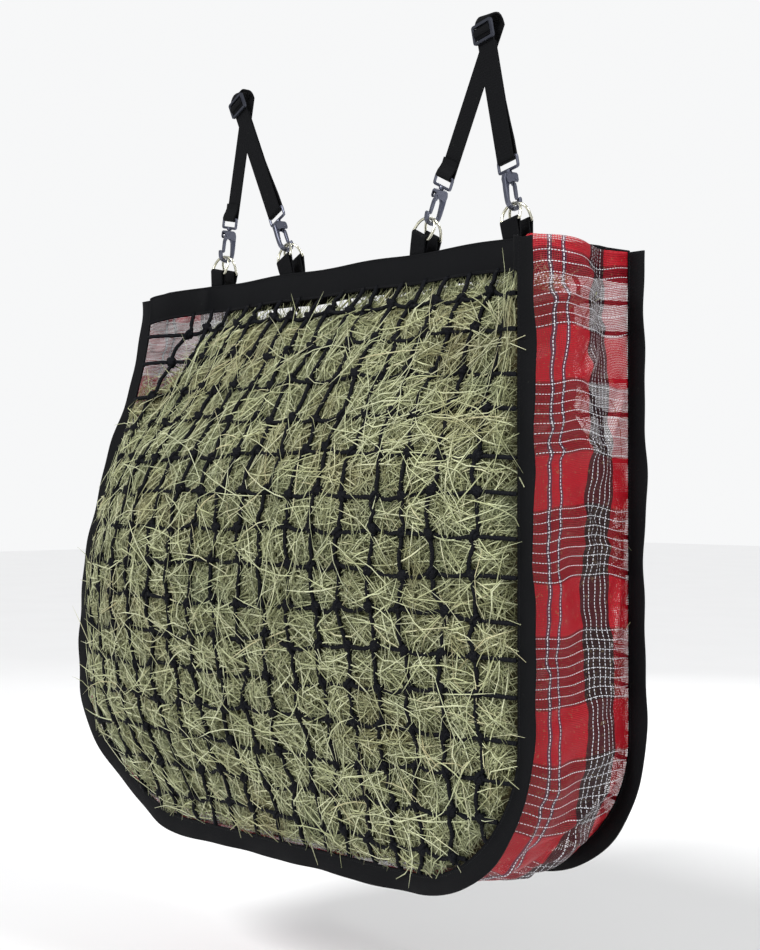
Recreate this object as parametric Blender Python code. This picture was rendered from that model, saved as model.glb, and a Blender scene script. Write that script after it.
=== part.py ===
"""Slow-feed hay net, hung from a rail by two adjustable straps.

World frame, metres: +Z up, +X to the right of the front net, -Y to the front.
The origin is on the axis of the hanging rail, midway between the two straps;
the rail itself runs along X and is not part of the object.

Bodies of the assembly: two hanging straps that carry four swivel snaps; each
snap is clipped through one front and one back D-ring, so the four snaps hold
the mouth of the bag shut.  The bag is a front and a back knotted net joined by
a mesh gusset that runs down one side, under the bottom and up the other side.
"""
import math

import bmesh
import bpy
from mathutils import Matrix, Vector

MM = 0.001

# ---------------------------------------------------------------- dimensions
WEB_W = 25.4 * MM          # 1 inch webbing: straps and tabs
WEB_T = 1.9 * MM           # thickness of one ply of it
GAP = 0.35 * MM            # space kept between touching pieces

# hanging straps
STRAP_X = 241.0 * MM       # strap tops, either side of the middle
RAIL_CLEAR_R = 6.5 * MM    # inner radius of the bend over the rail
LOOP_R = RAIL_CLEAR_R + WEB_T / 2

# the four hangers, where ring apexes sit in the snap hooks
SEAT_Z = -212.7 * MM
SEAT_X_OUTER = 281.0 * MM
SEAT_X_INNER = 144.0 * MM
LEG_TOP_Z = -12.0 * MM     # every leg points at its strap top at this height

# swivel snap, measured along the leg from the ring seat
HOOK_Z0 = -8.2             # mm: outside of the hook's bend
EYE_BAR_LOW = 39.7         # mm: lower bar of the rectangular eye
EYE_BAR_HIGH = 52.4        # mm: upper bar, inside the webbing's fold
EYE_HALF_W = 15.1          # mm: to the middle of the side bars
EYE_R = 1.9                # mm: half the bar thickness
GATE_OPEN_DEG = 20.0

# D-rings
RING_R = 1.7               # mm: wire radius
RING_HALF_W = 14.95        # mm: to the middle of the wire
RING_H = 23.4              # mm: bar to apex, wire middles
RING_APEX_Y = 2.05         # mm: from the middle plane
RING_LEAN = math.asin(7.8 / RING_H)

# slider (tri-glide)
SLIDER_W, SLIDER_H, SLIDER_T = 32.5, 23.0, 3.0   # mm
SLIDER_Z = -13.0 * MM      # its middle, when the strap is at its shortest
SLIDER_TRAVEL = 60.0 * MM

# bag
HALF_W = 357.0 * MM        # seam to middle
FIN_W = 25.0 * MM          # binding that stands out from the seam
FIN_T = 3.0 * MM
BAND_H = 38.0 * MM         # 1.5 inch webbing along the mouth
BAND_T = 3.0 * MM
MOUTH_Z = -253.5 * MM      # top of the bands between the tabs
CORNER_DROP_R = 13.0 * MM  # how far the free corners hang lower
CORNER_DROP_L = 18.0 * MM
SEAM_BOTTOM_Z = -959.5 * MM
SEAM_CORNER_R = 150.0 * MM
MOUTH_HALF = 13.0 * MM     # half the opening at the tabs
NET_T = 5.0 * MM           # cord diameter
GUSSET_T = 2.0 * MM
BELLY_FRONT = 62.0 * MM    # how far the hay pushes each net out
BELLY_BACK = 32.0 * MM
HAY_TOP_Z = -318.0 * MM
TAB_TAIL_Z = -284.0 * MM   # lower end of each tab, behind its band


# ---------------------------------------------------------------- start clean
for ob in list(bpy.data.objects):
    bpy.data.objects.remove(ob, do_unlink=True)

COL = bpy.context.scene.collection


def material(name, rgb, rough, metal=0.0):
    m = bpy.data.materials.new(name)
    m.use_nodes = True
    p = m.node_tree.nodes["Principled BSDF"]
    p.inputs["Base Color"].default_value = (rgb[0], rgb[1], rgb[2], 1.0)
    p.inputs["Roughness"].default_value = rough
    p.inputs["Metallic"].default_value = metal
    m.diffuse_color = (rgb[0], rgb[1], rgb[2], 1.0)
    return m


M_WEB = material("black_webbing", (0.010, 0.011, 0.013), 0.75)
M_CORD = material("black_cord", (0.009, 0.010, 0.014), 0.8)
M_MESH = material("red_plaid_mesh", (0.45, 0.012, 0.022), 0.6)
M_GUN = material("gunmetal", (0.11, 0.12, 0.17), 0.35, 1.0)
M_RING = material("nickel_plate", (0.62, 0.60, 0.45), 0.22, 1.0)
M_SLIDE = material("black_slider", (0.04, 0.045, 0.06), 0.4)
M_SPRING = material("spring_steel", (0.5, 0.5, 0.52), 0.3, 1.0)
M_HAY = material("hay", (0.24, 0.24, 0.09), 0.9)


# ---------------------------------------------------------------- small tools
def smooth(t):
    t = min(1.0, max(0.0, t))
    return t * t * (3.0 - 2.0 * t)


def lerp(a, b, t):
    return a + (b - a) * t


def new_object(name, data, mat, matrix=None, hidden=False):
    ob = bpy.data.objects.new(name, data)
    COL.objects.link(ob)
    if mat is not None and len(data.materials) == 0:
        data.materials.append(mat)
    if matrix is not None:
        ob.matrix_world = matrix
    if hidden:
        ob.hide_render = True
        ob.display_type = "WIRE"
    return ob


def finish_bmesh(bm, name, smooth_deg=None):
    bmesh.ops.recalc_face_normals(bm, faces=bm.faces[:])
    me = bpy.data.meshes.new(name)
    bm.to_mesh(me)
    bm.free()
    if smooth_deg is not None:
        me.shade_smooth()
        me.set_sharp_from_angle(angle=math.radians(smooth_deg))
    return me


def prism(outline, x0, x1, name, smooth_deg=35.0):
    """Outline in the YZ plane (mm), extruded along X from x0 to x1 (mm)."""
    bm = bmesh.new()
    vs = [bm.verts.new((x0 * MM, y * MM, z * MM)) for y, z in outline]
    f = bm.faces.new(vs)
    out = bmesh.ops.extrude_face_region(bm, geom=[f])
    moved = [g for g in out["geom"] if isinstance(g, bmesh.types.BMVert)]
    bmesh.ops.translate(bm, verts=moved, vec=((x1 - x0) * MM, 0, 0))
    return finish_bmesh(bm, name, smooth_deg)


def box(name, lo, hi):
    bm = bmesh.new()
    bmesh.ops.create_cube(bm, size=1.0)
    for v in bm.verts:
        v.co = Vector([lerp(lo[i], hi[i], v.co[i] + 0.5) * MM for i in range(3)])
    return finish_bmesh(bm, name)


def turned(name, profile, sides, axis="Z", centre=(0, 0, 0), smooth_deg=40.0):
    """Closed turned piece: profile is (radius, height) in mm, ends on the axis."""
    bm = bmesh.new()
    rings = []
    for r, h in profile:
        if r <= 0.0:
            rings.append([bm.verts.new((0, 0, h * MM))])
        else:
            rings.append([bm.verts.new((r * MM * math.cos(2 * math.pi * i / sides),
                                        r * MM * math.sin(2 * math.pi * i / sides), h * MM))
                          for i in range(sides)])
    for a, b in zip(rings, rings[1:]):
        for i in range(sides):
            j = (i + 1) % sides
            if len(a) == 1:
                bm.faces.new((a[0], b[i], b[j]))
            elif len(b) == 1:
                bm.faces.new((a[i], a[j], b[0]))
            else:
                bm.faces.new((a[i], a[j], b[j], b[i]))
    if axis == "X":
        bmesh.ops.rotate(bm, verts=bm.verts[:], cent=(0, 0, 0),
                         matrix=Matrix.Rotation(math.radians(90), 3, "Y"))
    bmesh.ops.translate(bm, verts=bm.verts[:], vec=Vector(centre) * MM)
    return finish_bmesh(bm, name, smooth_deg)


def boolean(ob, other, op):
    mod = ob.modifiers.new(op.lower(), "BOOLEAN")
    mod.operation = op
    mod.solver = "EXACT"
    mod.object = other


def wire_curve(name, pts, radius_mm, resolution, cyclic):
    cu = bpy.data.curves.new(name, "CURVE")
    cu.dimensions = "3D"
    cu.bevel_depth = radius_mm * MM
    cu.bevel_resolution = resolution
    cu.use_fill_caps = not cyclic
    sp = cu.splines.new("POLY")
    sp.points.add(len(pts) - 1)
    for p, q in zip(sp.points, pts):
        p.co = (q[0] * MM, q[1] * MM, q[2] * MM, 1.0)
    sp.use_cyclic_u = cyclic
    return cu


def strip(name, points, widths_dir, width, thick, mat):
    """Webbing: a ribbon of quads through the points, given a thickness."""
    bm = bmesh.new()
    rows = []
    for p, w in zip(points, widths_dir):
        rows.append((bm.verts.new(p - w * (width / 2)), bm.verts.new(p + w * (width / 2))))
    for a, b in zip(rows, rows[1:]):
        bm.faces.new((a[0], a[1], b[1], b[0]))
    me = bpy.data.meshes.new(name)
    bm.to_mesh(me)
    bm.free()
    me.shade_smooth()
    me.set_sharp_from_angle(angle=math.radians(35))
    ob = new_object(name, me, mat)
    sol = ob.modifiers.new("thickness", "SOLIDIFY")
    sol.thickness = thick
    sol.offset = 0.0
    sol.use_even_offset = True
    return ob


def grid_sheet(name, rows, thick, mat):
    """A sheet through rows of points (all rows equally long), thickened."""
    bm = bmesh.new()
    vs = [[bm.verts.new(p) for p in row] for row in rows]
    for a, b in zip(vs, vs[1:]):
        for i in range(len(a) - 1):
            bm.faces.new((a[i], a[i + 1], b[i + 1], b[i]))
    me = bpy.data.meshes.new(name)
    bm.to_mesh(me)
    bm.free()
    me.shade_smooth()
    me.set_sharp_from_angle(angle=math.radians(40))
    ob = new_object(name, me, mat)
    sol = ob.modifiers.new("thickness", "SOLIDIFY")
    sol.thickness = thick
    sol.offset = 0.0
    sol.use_even_offset = True
    return ob


# ---------------------------------------------------------------- bag surface
def flare(z):
    """The hay pushes the left side out, most at about two thirds down."""
    return smooth((-270.0 * MM - z) / (420.0 * MM))


def half_width(z):
    """Seam outline: straight sides, then a quarter circle into the bottom."""
    zc = SEAM_BOTTOM_Z + SEAM_CORNER_R
    if z >= zc:
        return HALF_W
    d = min(SEAM_CORNER_R, zc - z)
    return HALF_W - SEAM_CORNER_R + math.sqrt(max(0.0, SEAM_CORNER_R ** 2 - d * d))


def left_x(z):
    return -(half_width(z) + 45.0 * MM * flare(z) * (half_width(z) / HALF_W) ** 2)


def right_x(z):
    return half_width(z)


def mouth_top(x):
    """Height of the top edge: level between the tabs, lower at the corners."""
    drop = CORNER_DROP_R if x > 0 else CORNER_DROP_L
    return MOUTH_Z - drop * smooth((abs(x) - 0.30) / 0.082)


def front_side_y(p, z):
    left = (-72.0 - 70.0 * flare(z)) * MM
    right = -70.0 * MM
    low = smooth((-0.80 - z) / 0.16)
    y = lerp(left, right, smooth((p + 1) / 2))
    return lerp(y, lerp(-104.0 * MM, -84.0 * MM, (p + 1) / 2), low)


def back_side_y(p, z):
    left = (95.0 - 40.0 * flare(z)) * MM
    right = 104.0 * MM
    low = smooth((-0.80 - z) / 0.16)
    y = lerp(left, right, smooth((p + 1) / 2))
    return lerp(y, lerp(78.0 * MM, 104.0 * MM, (p + 1) / 2), low)


def pinch(x):
    """1 between the outer tabs, 0 at the seams."""
    return 1.0 - smooth((abs(x) - 0.303) / (HALF_W - 0.303))


def surface_y(x, z, front):
    """Middle surface of the front or the back net, with its band."""
    lo, hi = left_x(z), right_x(z)
    mid = 0.5 * (lo + hi)
    p = (x - mid) / (0.5 * (hi - lo))
    p = max(-1.0, min(1.0, p))
    q = (mouth_top(x) - z) / (mouth_top(x) - SEAM_BOTTOM_Z)
    q = max(0.0, min(1.0, q))
    side = front_side_y(p, z) if front else back_side_y(p, z)
    sign = -1.0 if front else 1.0
    fade = (1.0 - smooth(q / 0.42)) * pinch(x)
    y = lerp(side, sign * MOUTH_HALF, fade)
    depth = BELLY_FRONT if front else BELLY_BACK
    swell = math.sin(math.pi * q ** 0.85) * (1.0 - p ** 4) * smooth(q / 0.12)
    return y + sign * depth * swell


# rows of heights down the panel: even on the straight sides, then by angle
ZC = SEAM_BOTTOM_Z + SEAM_CORNER_R
ROWS_SIDE = 9
ROWS_CORNER = 6
BOTTOM_STEPS = 6


def outline():
    """Seam outline from the top left corner round to the top right one.
    Each point: x, z and the outward direction in the XZ plane."""
    pts = []
    top_l = mouth_top(-HALF_W - 0.02)
    top_r = mouth_top(HALF_W + 0.02)
    for i in range(ROWS_SIDE):
        z = lerp(top_l, ZC, i / ROWS_SIDE)
        pts.append((left_x(z), z))
    for i in range(ROWS_CORNER):
        z = ZC - SEAM_CORNER_R * math.sin(math.radians(90.0 * i / ROWS_CORNER))
        pts.append((left_x(z), z))
    x0 = left_x(SEAM_BOTTOM_Z)
    x1 = right_x(SEAM_BOTTOM_Z)
    for i in range(BOTTOM_STEPS + 1):
        pts.append((lerp(x0, x1, i / BOTTOM_STEPS), SEAM_BOTTOM_Z))
    for i in range(ROWS_CORNER - 1, -1, -1):
        z = ZC - SEAM_CORNER_R * math.sin(math.radians(90.0 * i / ROWS_CORNER))
        pts.append((right_x(z), z))
    for i in range(ROWS_SIDE - 1, -1, -1):
        z = lerp(top_r, ZC, i / ROWS_SIDE)
        pts.append((right_x(z), z))
    out = []
    n = len(pts)
    for i in range(n):
        a = pts[max(0, i - 1)]
        b = pts[min(n - 1, i + 1)]
        tx, tz = b[0] - a[0], b[1] - a[1]
        ln = math.hypot(tx, tz)
        nx, nz = tz / ln, -tx / ln
        if i == 0 or i == n - 1:
            nx, nz = (-1.0, 0.0) if i == 0 else (1.0, 0.0)
        out.append((pts[i][0], pts[i][1], nx, nz))
    return out


OUTLINE = outline()


def seam_y(x, z, front):
    p = -1.0 if x < 0.5 * (left_x(z) + right_x(z)) else 1.0
    if z < SEAM_BOTTOM_Z + 0.5 * MM:
        p = (x - left_x(z)) / (right_x(z) - left_x(z)) * 2 - 1
    return front_side_y(p, z) if front else back_side_y(p, z)


def build_fin(name, front):
    rows = []
    for x, z, nx, nz in OUTLINE:
        y = seam_y(x, z, front)
        a = Vector((x + nx * 0.6 * MM, y, z + nz * 0.6 * MM))
        b = Vector((x + nx * FIN_W, y, z + nz * FIN_W))
        rows.append((a, lerp(a, b, 0.5), b))
    return grid_sheet(name, rows, FIN_T, M_WEB)


def build_gusset():
    rows = []
    steps = 5
    for x, z, nx, nz in OUTLINE:
        yf = seam_y(x, z, True) + FIN_T / 2 + 0.5 * MM
        yb = seam_y(x, z, False) - FIN_T / 2 - 0.5 * MM
        row = []
        for k in range(steps + 1):
            w = k / steps
            out = 7.0 * MM * math.sin(math.pi * w)
            row.append(Vector((x + nx * out, lerp(yf, yb, w), z + nz * out)))
        rows.append(row)
    return grid_sheet("side_gusset", rows, GUSSET_T, M_MESH)


BAND_COLS = [-1.0, -0.93, -0.86, -0.78, -0.6, -0.4, -0.2, 0.0,
             0.2, 0.4, 0.6, 0.78, 0.86, 0.93, 1.0]


def build_band(name, front):
    rows = []
    for j in range(3):
        row = []
        for p in BAND_COLS:
            x = p * (HALF_W - 4.0 * MM)
            z = mouth_top(x) - BAND_H * j / 2
            if p < 0:
                x = -p * (left_x(z) + 4.0 * MM)
            row.append(Vector((x, surface_y(x, z, front), z)))
        rows.append(row)
    return grid_sheet(name, rows, BAND_T, M_WEB)


NET_COLS = [-1.0, -0.94, -0.85, -0.7, -0.52, -0.35, -0.17, 0.0,
            0.17, 0.35, 0.52, 0.7, 0.85, 0.94, 1.0]


def net_rows():
    qs = [0.0, 0.05, 0.11, 0.19, 0.28, 0.40, 0.55, 0.70, 0.82, 0.90]
    return qs


def build_net(name, front):
    inset = 5.0 * MM
    rows = []
    z_low = SEAM_BOTTOM_Z + inset
    levels = [("top", q) for q in net_rows()] + [("arc", a) for a in (20, 40, 58, 75, 90)]
    for kind, v in levels:
        row = []
        for p in NET_COLS:
            if kind == "top":
                def at(zz):
                    lo, hi = left_x(zz) + inset, right_x(zz) - inset
                    return lerp(lo, hi, (p + 1) / 2)
                x = at(-0.3)
                z0 = mouth_top(x) - BAND_H - 1.2 * MM
                z = lerp(z0, ZC, v / 0.90)
                x = at(z)
            else:
                z = ZC - (ZC - z_low) * math.sin(math.radians(v))
                # measure the width a little above, so the sheet stays inside the seam
                zz = min(ZC, z)
                hw = HALF_W - SEAM_CORNER_R + (SEAM_CORNER_R - inset) * math.cos(math.radians(v))
                lo = left_x(zz) * (hw / max(half_width(zz), 1e-6)) if v < 89 else left_x(SEAM_BOTTOM_Z)
                lo = -(hw + 45.0 * MM * flare(zz) * (hw / HALF_W) ** 2)
                x = lerp(lo, hw, (p + 1) / 2)
            row.append(Vector((x, surface_y(x, z, front), z)))
        rows.append(row)
    return grid_sheet(name, rows, NET_T, M_CORD)


def hay_dip(x, z):
    """The fill slopes down towards its top left corner."""
    return 105.0 * MM * smooth((-0.235 - x) / 0.12) * smooth((z + 0.52) / 0.20)


def hay_hollow(x, z, gap):
    """Fill missing behind the top right corner, as a share of the room there."""
    return min(55.0 * MM, 0.45 * gap) * smooth((x - 0.215) / 0.09) * smooth((z + 0.53) / 0.08)


def build_hay():
    """One closed plug that fills the bag, clear of the nets and the gusset."""
    inset = 9.0 * MM
    keep = NET_T / 2 + 7.0 * MM
    low = SEAM_BOTTOM_Z + inset
    levels = [lerp(HAY_TOP_Z, ZC, t) for t in (0.0, 0.07, 0.16, 0.28, 0.42, 0.58, 0.74, 0.88, 1.0)]
    levels += [ZC - (ZC - low) * math.sin(math.radians(a)) for a in (20, 40, 58, 75, 90)]
    cols = len(NET_COLS)
    bm = bmesh.new()
    rings = []
    for li, z in enumerate(levels):
        if z >= ZC:
            hw = HALF_W - inset
        else:
            s = min(1.0, (ZC - z) / (ZC - low))
            hw = HALF_W - SEAM_CORNER_R + (SEAM_CORNER_R - inset) * math.sqrt(max(0.0, 1 - s * s))
        lo = -(hw + 45.0 * MM * flare(z) * (hw / HALF_W) ** 2)
        hi = hw
        shrink = 0.90 if li == 0 else (0.97 if li == 1 else 1.0)
        mid = 0.5 * (lo + hi)
        lo, hi = lerp(mid, lo, shrink), lerp(mid, hi, shrink)
        tuck = 16.0 * MM if li == 0 else (5.0 * MM if li == 1 else 0.0)
        ring = []
        for k in range(cols):
            x = lerp(lo, hi, (NET_COLS[k] + 1) / 2)
            bump = 7.0 * MM * math.sin(17.0 * x + 1.3) if li == 0 else 0.0
            zz = z - hay_dip(x, z)
            y = surface_y(x, zz, True) + keep + min(tuck, 6.0 * MM)
            edge = 1.0 - abs(NET_COLS[k]) ** 6
            y = lerp(y + 6.0 * MM, y, edge)
            ring.append(bm.verts.new((x, y, zz + bump)))
        for k in range(cols - 1, -1, -1):
            x = lerp(lo, hi, (NET_COLS[k] + 1) / 2)
            bump = 7.0 * MM * math.sin(17.0 * x + 1.3) if li == 0 else 0.0
            zz = z - hay_dip(x, z)
            y = surface_y(x, zz, False) - keep - min(tuck, 6.0 * MM)
            edge = 1.0 - abs(NET_COLS[k]) ** 6
            y = lerp(y - 6.0 * MM, y, edge)
            y -= hay_hollow(x, zz, y - surface_y(x, zz, True) - keep)
            ring.append(bm.verts.new((x, y, zz + bump)))
        rings.append(ring)
    n = 2 * cols
    for a, b in zip(rings, rings[1:]):
        for i in range(n):
            j = (i + 1) % n
            bm.faces.new((a[i], a[j], b[j], b[i]))
    for ring in (rings[0], rings[-1]):
        for k in range(cols - 1):
            bm.faces.new((ring[k], ring[k + 1], ring[n - 2 - k], ring[n - 1 - k]))
    me = finish_bmesh(bm, "hay_fill", 60.0)
    return new_object("hay_fill", me, M_HAY)


# ---------------------------------------------------------------- hangers
# side: which strap; hand: which of its two legs, seen from the front
HANGERS = [
    ("outer_left", -1, "left_leg", -SEAT_X_OUTER),
    ("inner_left", -1, "right_leg", -SEAT_X_INNER),
    ("inner_right", 1, "left_leg", SEAT_X_INNER),
    ("outer_right", 1, "right_leg", SEAT_X_OUTER),
]


def leg_angle(side, seat_x):
    return math.atan2(side * STRAP_X - seat_x, LEG_TOP_Z - SEAT_Z)


def hanger_matrix(side, seat_x):
    """Local frame: origin at the ring seat, Z along the leg, Y as the world's."""
    phi = leg_angle(side, seat_x)
    return Matrix.Translation((seat_x, 0, SEAT_Z)) @ Matrix.Rotation(phi, 4, "Y")


# --- snap: rectangular eye with a swivel stud
def eye_mesh_objects():
    h0, h1, w, r = EYE_BAR_LOW, EYE_BAR_HIGH, EYE_HALF_W, EYE_R
    c = 2.0
    path = [(-w + c, h0), (w - c, h0), (w - 0.4, h0 + 0.4), (w, h0 + c),
            (w, h1 - c), (w - 0.4, h1 - 0.4), (w - c, h1), (-w + c, h1),
            (-w + 0.4, h1 - 0.4), (-w, h1 - c), (-w, h0 + c), (-w + 0.4, h0 + 0.4)]
    n = len(path)
    sides = 8
    bm = bmesh.new()
    rings = []
    for i in range(n):
        a, b = path[i - 1], path[(i + 1) % n]
        t = Vector((b[0] - a[0], 0, b[1] - a[1])).normalized()
        nrm = Vector((t.z, 0, -t.x))
        ring = []
        for k in range(sides):
            an = 2 * math.pi * (k + 0.5) / sides
            off = nrm * (math.cos(an) * r) + Vector((0, math.sin(an) * r, 0))
            ring.append(bm.verts.new((Vector((path[i][0], 0, path[i][1])) + off) * MM))
        rings.append(ring)
    for i in range(n):
        a, b = rings[i], rings[(i + 1) % n]
        for k in range(sides):
            j = (k + 1) % sides
            bm.faces.new((a[k], a[j], b[j], b[k]))
    return finish_bmesh(bm, "snap_eye_frame", 50.0)


HOOK_TOP = 44.0   # mm, above the outside of the bend
eye_data = eye_mesh_objects()
z_top_wall = HOOK_Z0 + HOOK_TOP
stud_data = turned("swivel_stud", [
    (0.0, z_top_wall - 4.9), (2.1, z_top_wall - 4.9), (2.6, z_top_wall - 4.5),
    (2.6, z_top_wall - 3.5), (1.75, z_top_wall - 3.3), (1.75, z_top_wall + 0.4),
    (3.3, z_top_wall + 0.6), (3.3, EYE_BAR_LOW - 0.6), (2.2, EYE_BAR_LOW + 1.0),
    (0.0, EYE_BAR_LOW + 1.0)], 12)

# --- snap: hook body, outline in the hook's own plane (y, z from the bend)
def hook_outline():
    pts = [(7.2, 44.0), (-5.2, 44.0), (-8.6, 42.2), (-11.2, 37.0), (-11.7, 24.0), (-11.6, 13.5)]
    for k in range(1, 9):
        a = math.radians(180 + 180 * k / 9)
        pts.append((11.6 * math.cos(a), 11.6 + 11.6 * math.sin(a)))
    pts += [(11.9, 12.6), (12.0, 15.4), (10.4, 17.0), (8.4, 16.2), (7.6, 13.0)]
    for k in range(0, 9):
        a = math.radians(-8 - 164 * k / 8)
        pts.append((7.5 * math.cos(a), 11.9 + 7.5 * math.sin(a)))
    pts += [(-6.9, 18.0), (-5.8, 27.0), (-3.9, 31.0), (-1.5, 33.0), (7.6, 33.0),
            (9.0, 35.5), (9.0, 42.2)]
    return pts


hook_data = prism([(y, z + HOOK_Z0) for y, z in hook_outline()], -2.9, 2.9, "snap_hook_plate")
head_data = prism([(y, z + HOOK_Z0) for y, z in
                   [(7.0, 43.9), (-5.0, 43.9), (-8.0, 42.0), (-9.6, 37.0), (-8.8, 31.0),
                    (-4.4, 31.4), (-1.6, 33.2), (7.4, 33.2), (8.8, 35.6), (8.8, 42.0)]],
                  -4.6, 4.6, "snap_head")
slot_data = box("cut_slot", (-3.15, -3.4, HOOK_Z0 + 29.0), (3.15, 14.0, HOOK_Z0 + 41.0))
bore_data = turned("cut_bore", [(0.0, HOOK_Z0 + 39.5), (2.15, HOOK_Z0 + 39.5),
                                (2.15, HOOK_Z0 + 45.5), (0.0, HOOK_Z0 + 45.5)], 12)
PIVOT_Y, PIVOT_Z = 5.0, HOOK_Z0 + 37.0
pin_hole_data = turned("cut_pin_hole", [(0, -6.0), (1.55, -6.0), (1.55, 6.0), (0, 6.0)], 12,
                       axis="X", centre=(0, PIVOT_Y, PIVOT_Z))

cut_parent = Matrix.Identity(4)
cut_head = new_object("cut_head", head_data, None, cut_parent, hidden=True)
cut_slot = new_object("cut_slot", slot_data, None, cut_parent, hidden=True)
cut_bore = new_object("cut_bore", bore_data, None, cut_parent, hidden=True)
cut_pin = new_object("cut_pin_hole", pin_hole_data, None, cut_parent, hidden=True)


def evaluated_copy(ob, name):
    """Bake an object's modifiers into one mesh, to be shared by its copies."""
    deps = bpy.context.evaluated_depsgraph_get()
    deps.update()
    me = bpy.data.meshes.new_from_object(ob.evaluated_get(deps))
    me.name = name
    return me


master = new_object("cut_hook_master", hook_data, M_GUN, None, hidden=True)
bev = master.modifiers.new("edge", "BEVEL")
bev.width = 0.7 * MM
bev.segments = 1
bev.limit_method = "ANGLE"
bev.angle_limit = math.radians(50)
boolean(master, cut_head, "UNION")
boolean(master, cut_slot, "DIFFERENCE")
boolean(master, cut_bore, "DIFFERENCE")
boolean(master, cut_pin, "DIFFERENCE")
HOOK_MESH = evaluated_copy(master, "snap_hook")
HOOK_MESH.shade_smooth()
HOOK_MESH.set_sharp_from_angle(angle=math.radians(35))

eye_master = new_object("cut_eye_master", eye_data, M_GUN, None, hidden=True)
cut_stud = new_object("cut_stud", stud_data, None, None, hidden=True)
boolean(eye_master, cut_stud, "UNION")
EYE_MESH = evaluated_copy(eye_master, "snap_eye")
EYE_MESH.shade_smooth()
EYE_MESH.set_sharp_from_angle(angle=math.radians(40))


# --- snap: gate, about its own pivot (origin on the pin's axis)
def gate_meshes():
    r = 3.0
    plate = []
    for k in range(9):
        a = math.radians(-30 + 240 * k / 8)
        plate.append((r * math.cos(a), r * math.sin(a)))
    plate += [(-1.6, -6.5), (1.9, -6.5)]
    knuckle = prism(plate, -2.8, -0.35, "gate_knuckle")
    # the bar reaches from below the head to behind the nose of the hook
    bar = [(1.9, -3.9), (2.6, -8.0), (2.5, -18.0), (2.1, -22.0), (1.2, -23.6),
           (-0.2, -23.4), (-1.2, -21.0), (-1.5, -12.0), (-1.6, -3.9)]
    return knuckle, prism(bar, -1.9, 1.9, "gate_bar")


knuckle_data, bar_data = gate_meshes()
gate_master = new_object("cut_gate_master", bar_data, M_GUN, None, hidden=True)
gb = gate_master.modifiers.new("edge", "BEVEL")
gb.width = 0.5 * MM
gb.segments = 1
gb.limit_method = "ANGLE"
gb.angle_limit = math.radians(50)
cut_knuckle = new_object("cut_knuckle", knuckle_data, None, None, hidden=True)
gate_hole_data = turned("cut_gate_hole", [(0, -6.0), (1.5, -6.0), (1.5, 6.0), (0, 6.0)], 12, axis="X")
cut_gate_hole = new_object("cut_gate_hole", gate_hole_data, None, None, hidden=True)
boolean(gate_master, cut_knuckle, "UNION")
boolean(gate_master, cut_gate_hole, "DIFFERENCE")
GATE_MESH = evaluated_copy(gate_master, "snap_gate")
GATE_MESH.shade_smooth()
GATE_MESH.set_sharp_from_angle(angle=math.radians(35))

PIN_MESH = turned("gate_pin", [(0, -5.5), (1.3, -5.45), (1.9, -5.0), (1.9, -4.9), (1.15, -4.9),
                               (1.15, 4.9), (1.9, 4.9), (1.9, 5.0), (1.3, 5.45), (0, 5.5)],
                  10, axis="X")

spring_pts = []
turns, per_turn = 2.5, 9
count = int(turns * per_turn)
for i in range(count + 1):
    a = 2 * math.pi * i / per_turn
    spring_pts.append((0.75 + 1.75 * i / count, 2.0 * math.cos(a), 2.0 * math.sin(a)))
SPRING_CURVE = wire_curve("gate_spring", spring_pts, 0.3, 0, False)
SPRING_CURVE.materials.append(M_SPRING)


# --- D-ring: bar at the bottom, apex at the local origin
def ring_points():
    w, r = RING_HALF_W, RING_HALF_W
    straight = RING_H - r
    pts = [(-w + 2.0, 0, -RING_H), (w - 2.0, 0, -RING_H), (w - 0.5, 0, -RING_H + 0.5),
           (w, 0, -RING_H + 2.0), (w, 0, -RING_H + straight)]
    for k in range(1, 10):
        a = math.radians(180.0 * k / 10)
        pts.append((r * math.cos(a), 0, -RING_H + straight + r * math.sin(a)))
    pts += [(-w, 0, -RING_H + straight), (-w, 0, -RING_H + 2.0), (-w + 0.5, 0, -RING_H + 0.5)]
    return pts


RING_CURVE = wire_curve("d_ring", ring_points(), RING_R, 1, True)
RING_CURVE.materials.append(M_RING)


def build_hanger(tag, side, hand, seat_x):
    base = hanger_matrix(side, seat_x)
    phi = leg_angle(side, seat_x)
    new_object("snap_eye_" + tag, EYE_MESH, M_GUN, base)
    # hooks on the right-hand legs have their spine to the front; the others are turned
    turn = 0.0 if hand == "right_leg" else math.pi
    hook_frame = base @ Matrix.Rotation(turn, 4, "Z")
    new_object("snap_hook_" + tag, HOOK_MESH, M_GUN, hook_frame)
    pivot = hook_frame @ Matrix.Translation((0, PIVOT_Y * MM, PIVOT_Z * MM))
    new_object("snap_gate_" + tag, GATE_MESH, M_GUN, pivot)
    new_object("gate_pin_" + tag, PIN_MESH, M_GUN, pivot)
    new_object("gate_spring_" + tag, SPRING_CURVE, M_SPRING, pivot)
    for where, s in (("front", -1.0), ("back", 1.0)):
        ring = (base @ Matrix.Translation((0, s * RING_APEX_Y * MM, 0))
                @ Matrix.Rotation(-s * RING_LEAN * -1.0, 4, "X"))
        # origin on the bar's axis, where the ring turns in its tab
        to_bar = ring @ Matrix.Translation((0, 0, -RING_H * MM))
        ob = new_object("d_ring_%s_%s" % (where, tag), bar_ring_curve(), M_RING, to_bar)
        bar = to_bar.translation
        build_tab("tab_%s_%s" % (where, tag), s, bar, phi)


_bar_curve = []


def bar_ring_curve():
    if not _bar_curve:
        pts = [(x, y, z + RING_H) for x, y, z in ring_points()]
        cu = wire_curve("d_ring_wire", pts, RING_R, 1, True)
        cu.materials.append(M_RING)
        _bar_curve.append(cu)
    return _bar_curve[0]


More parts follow.
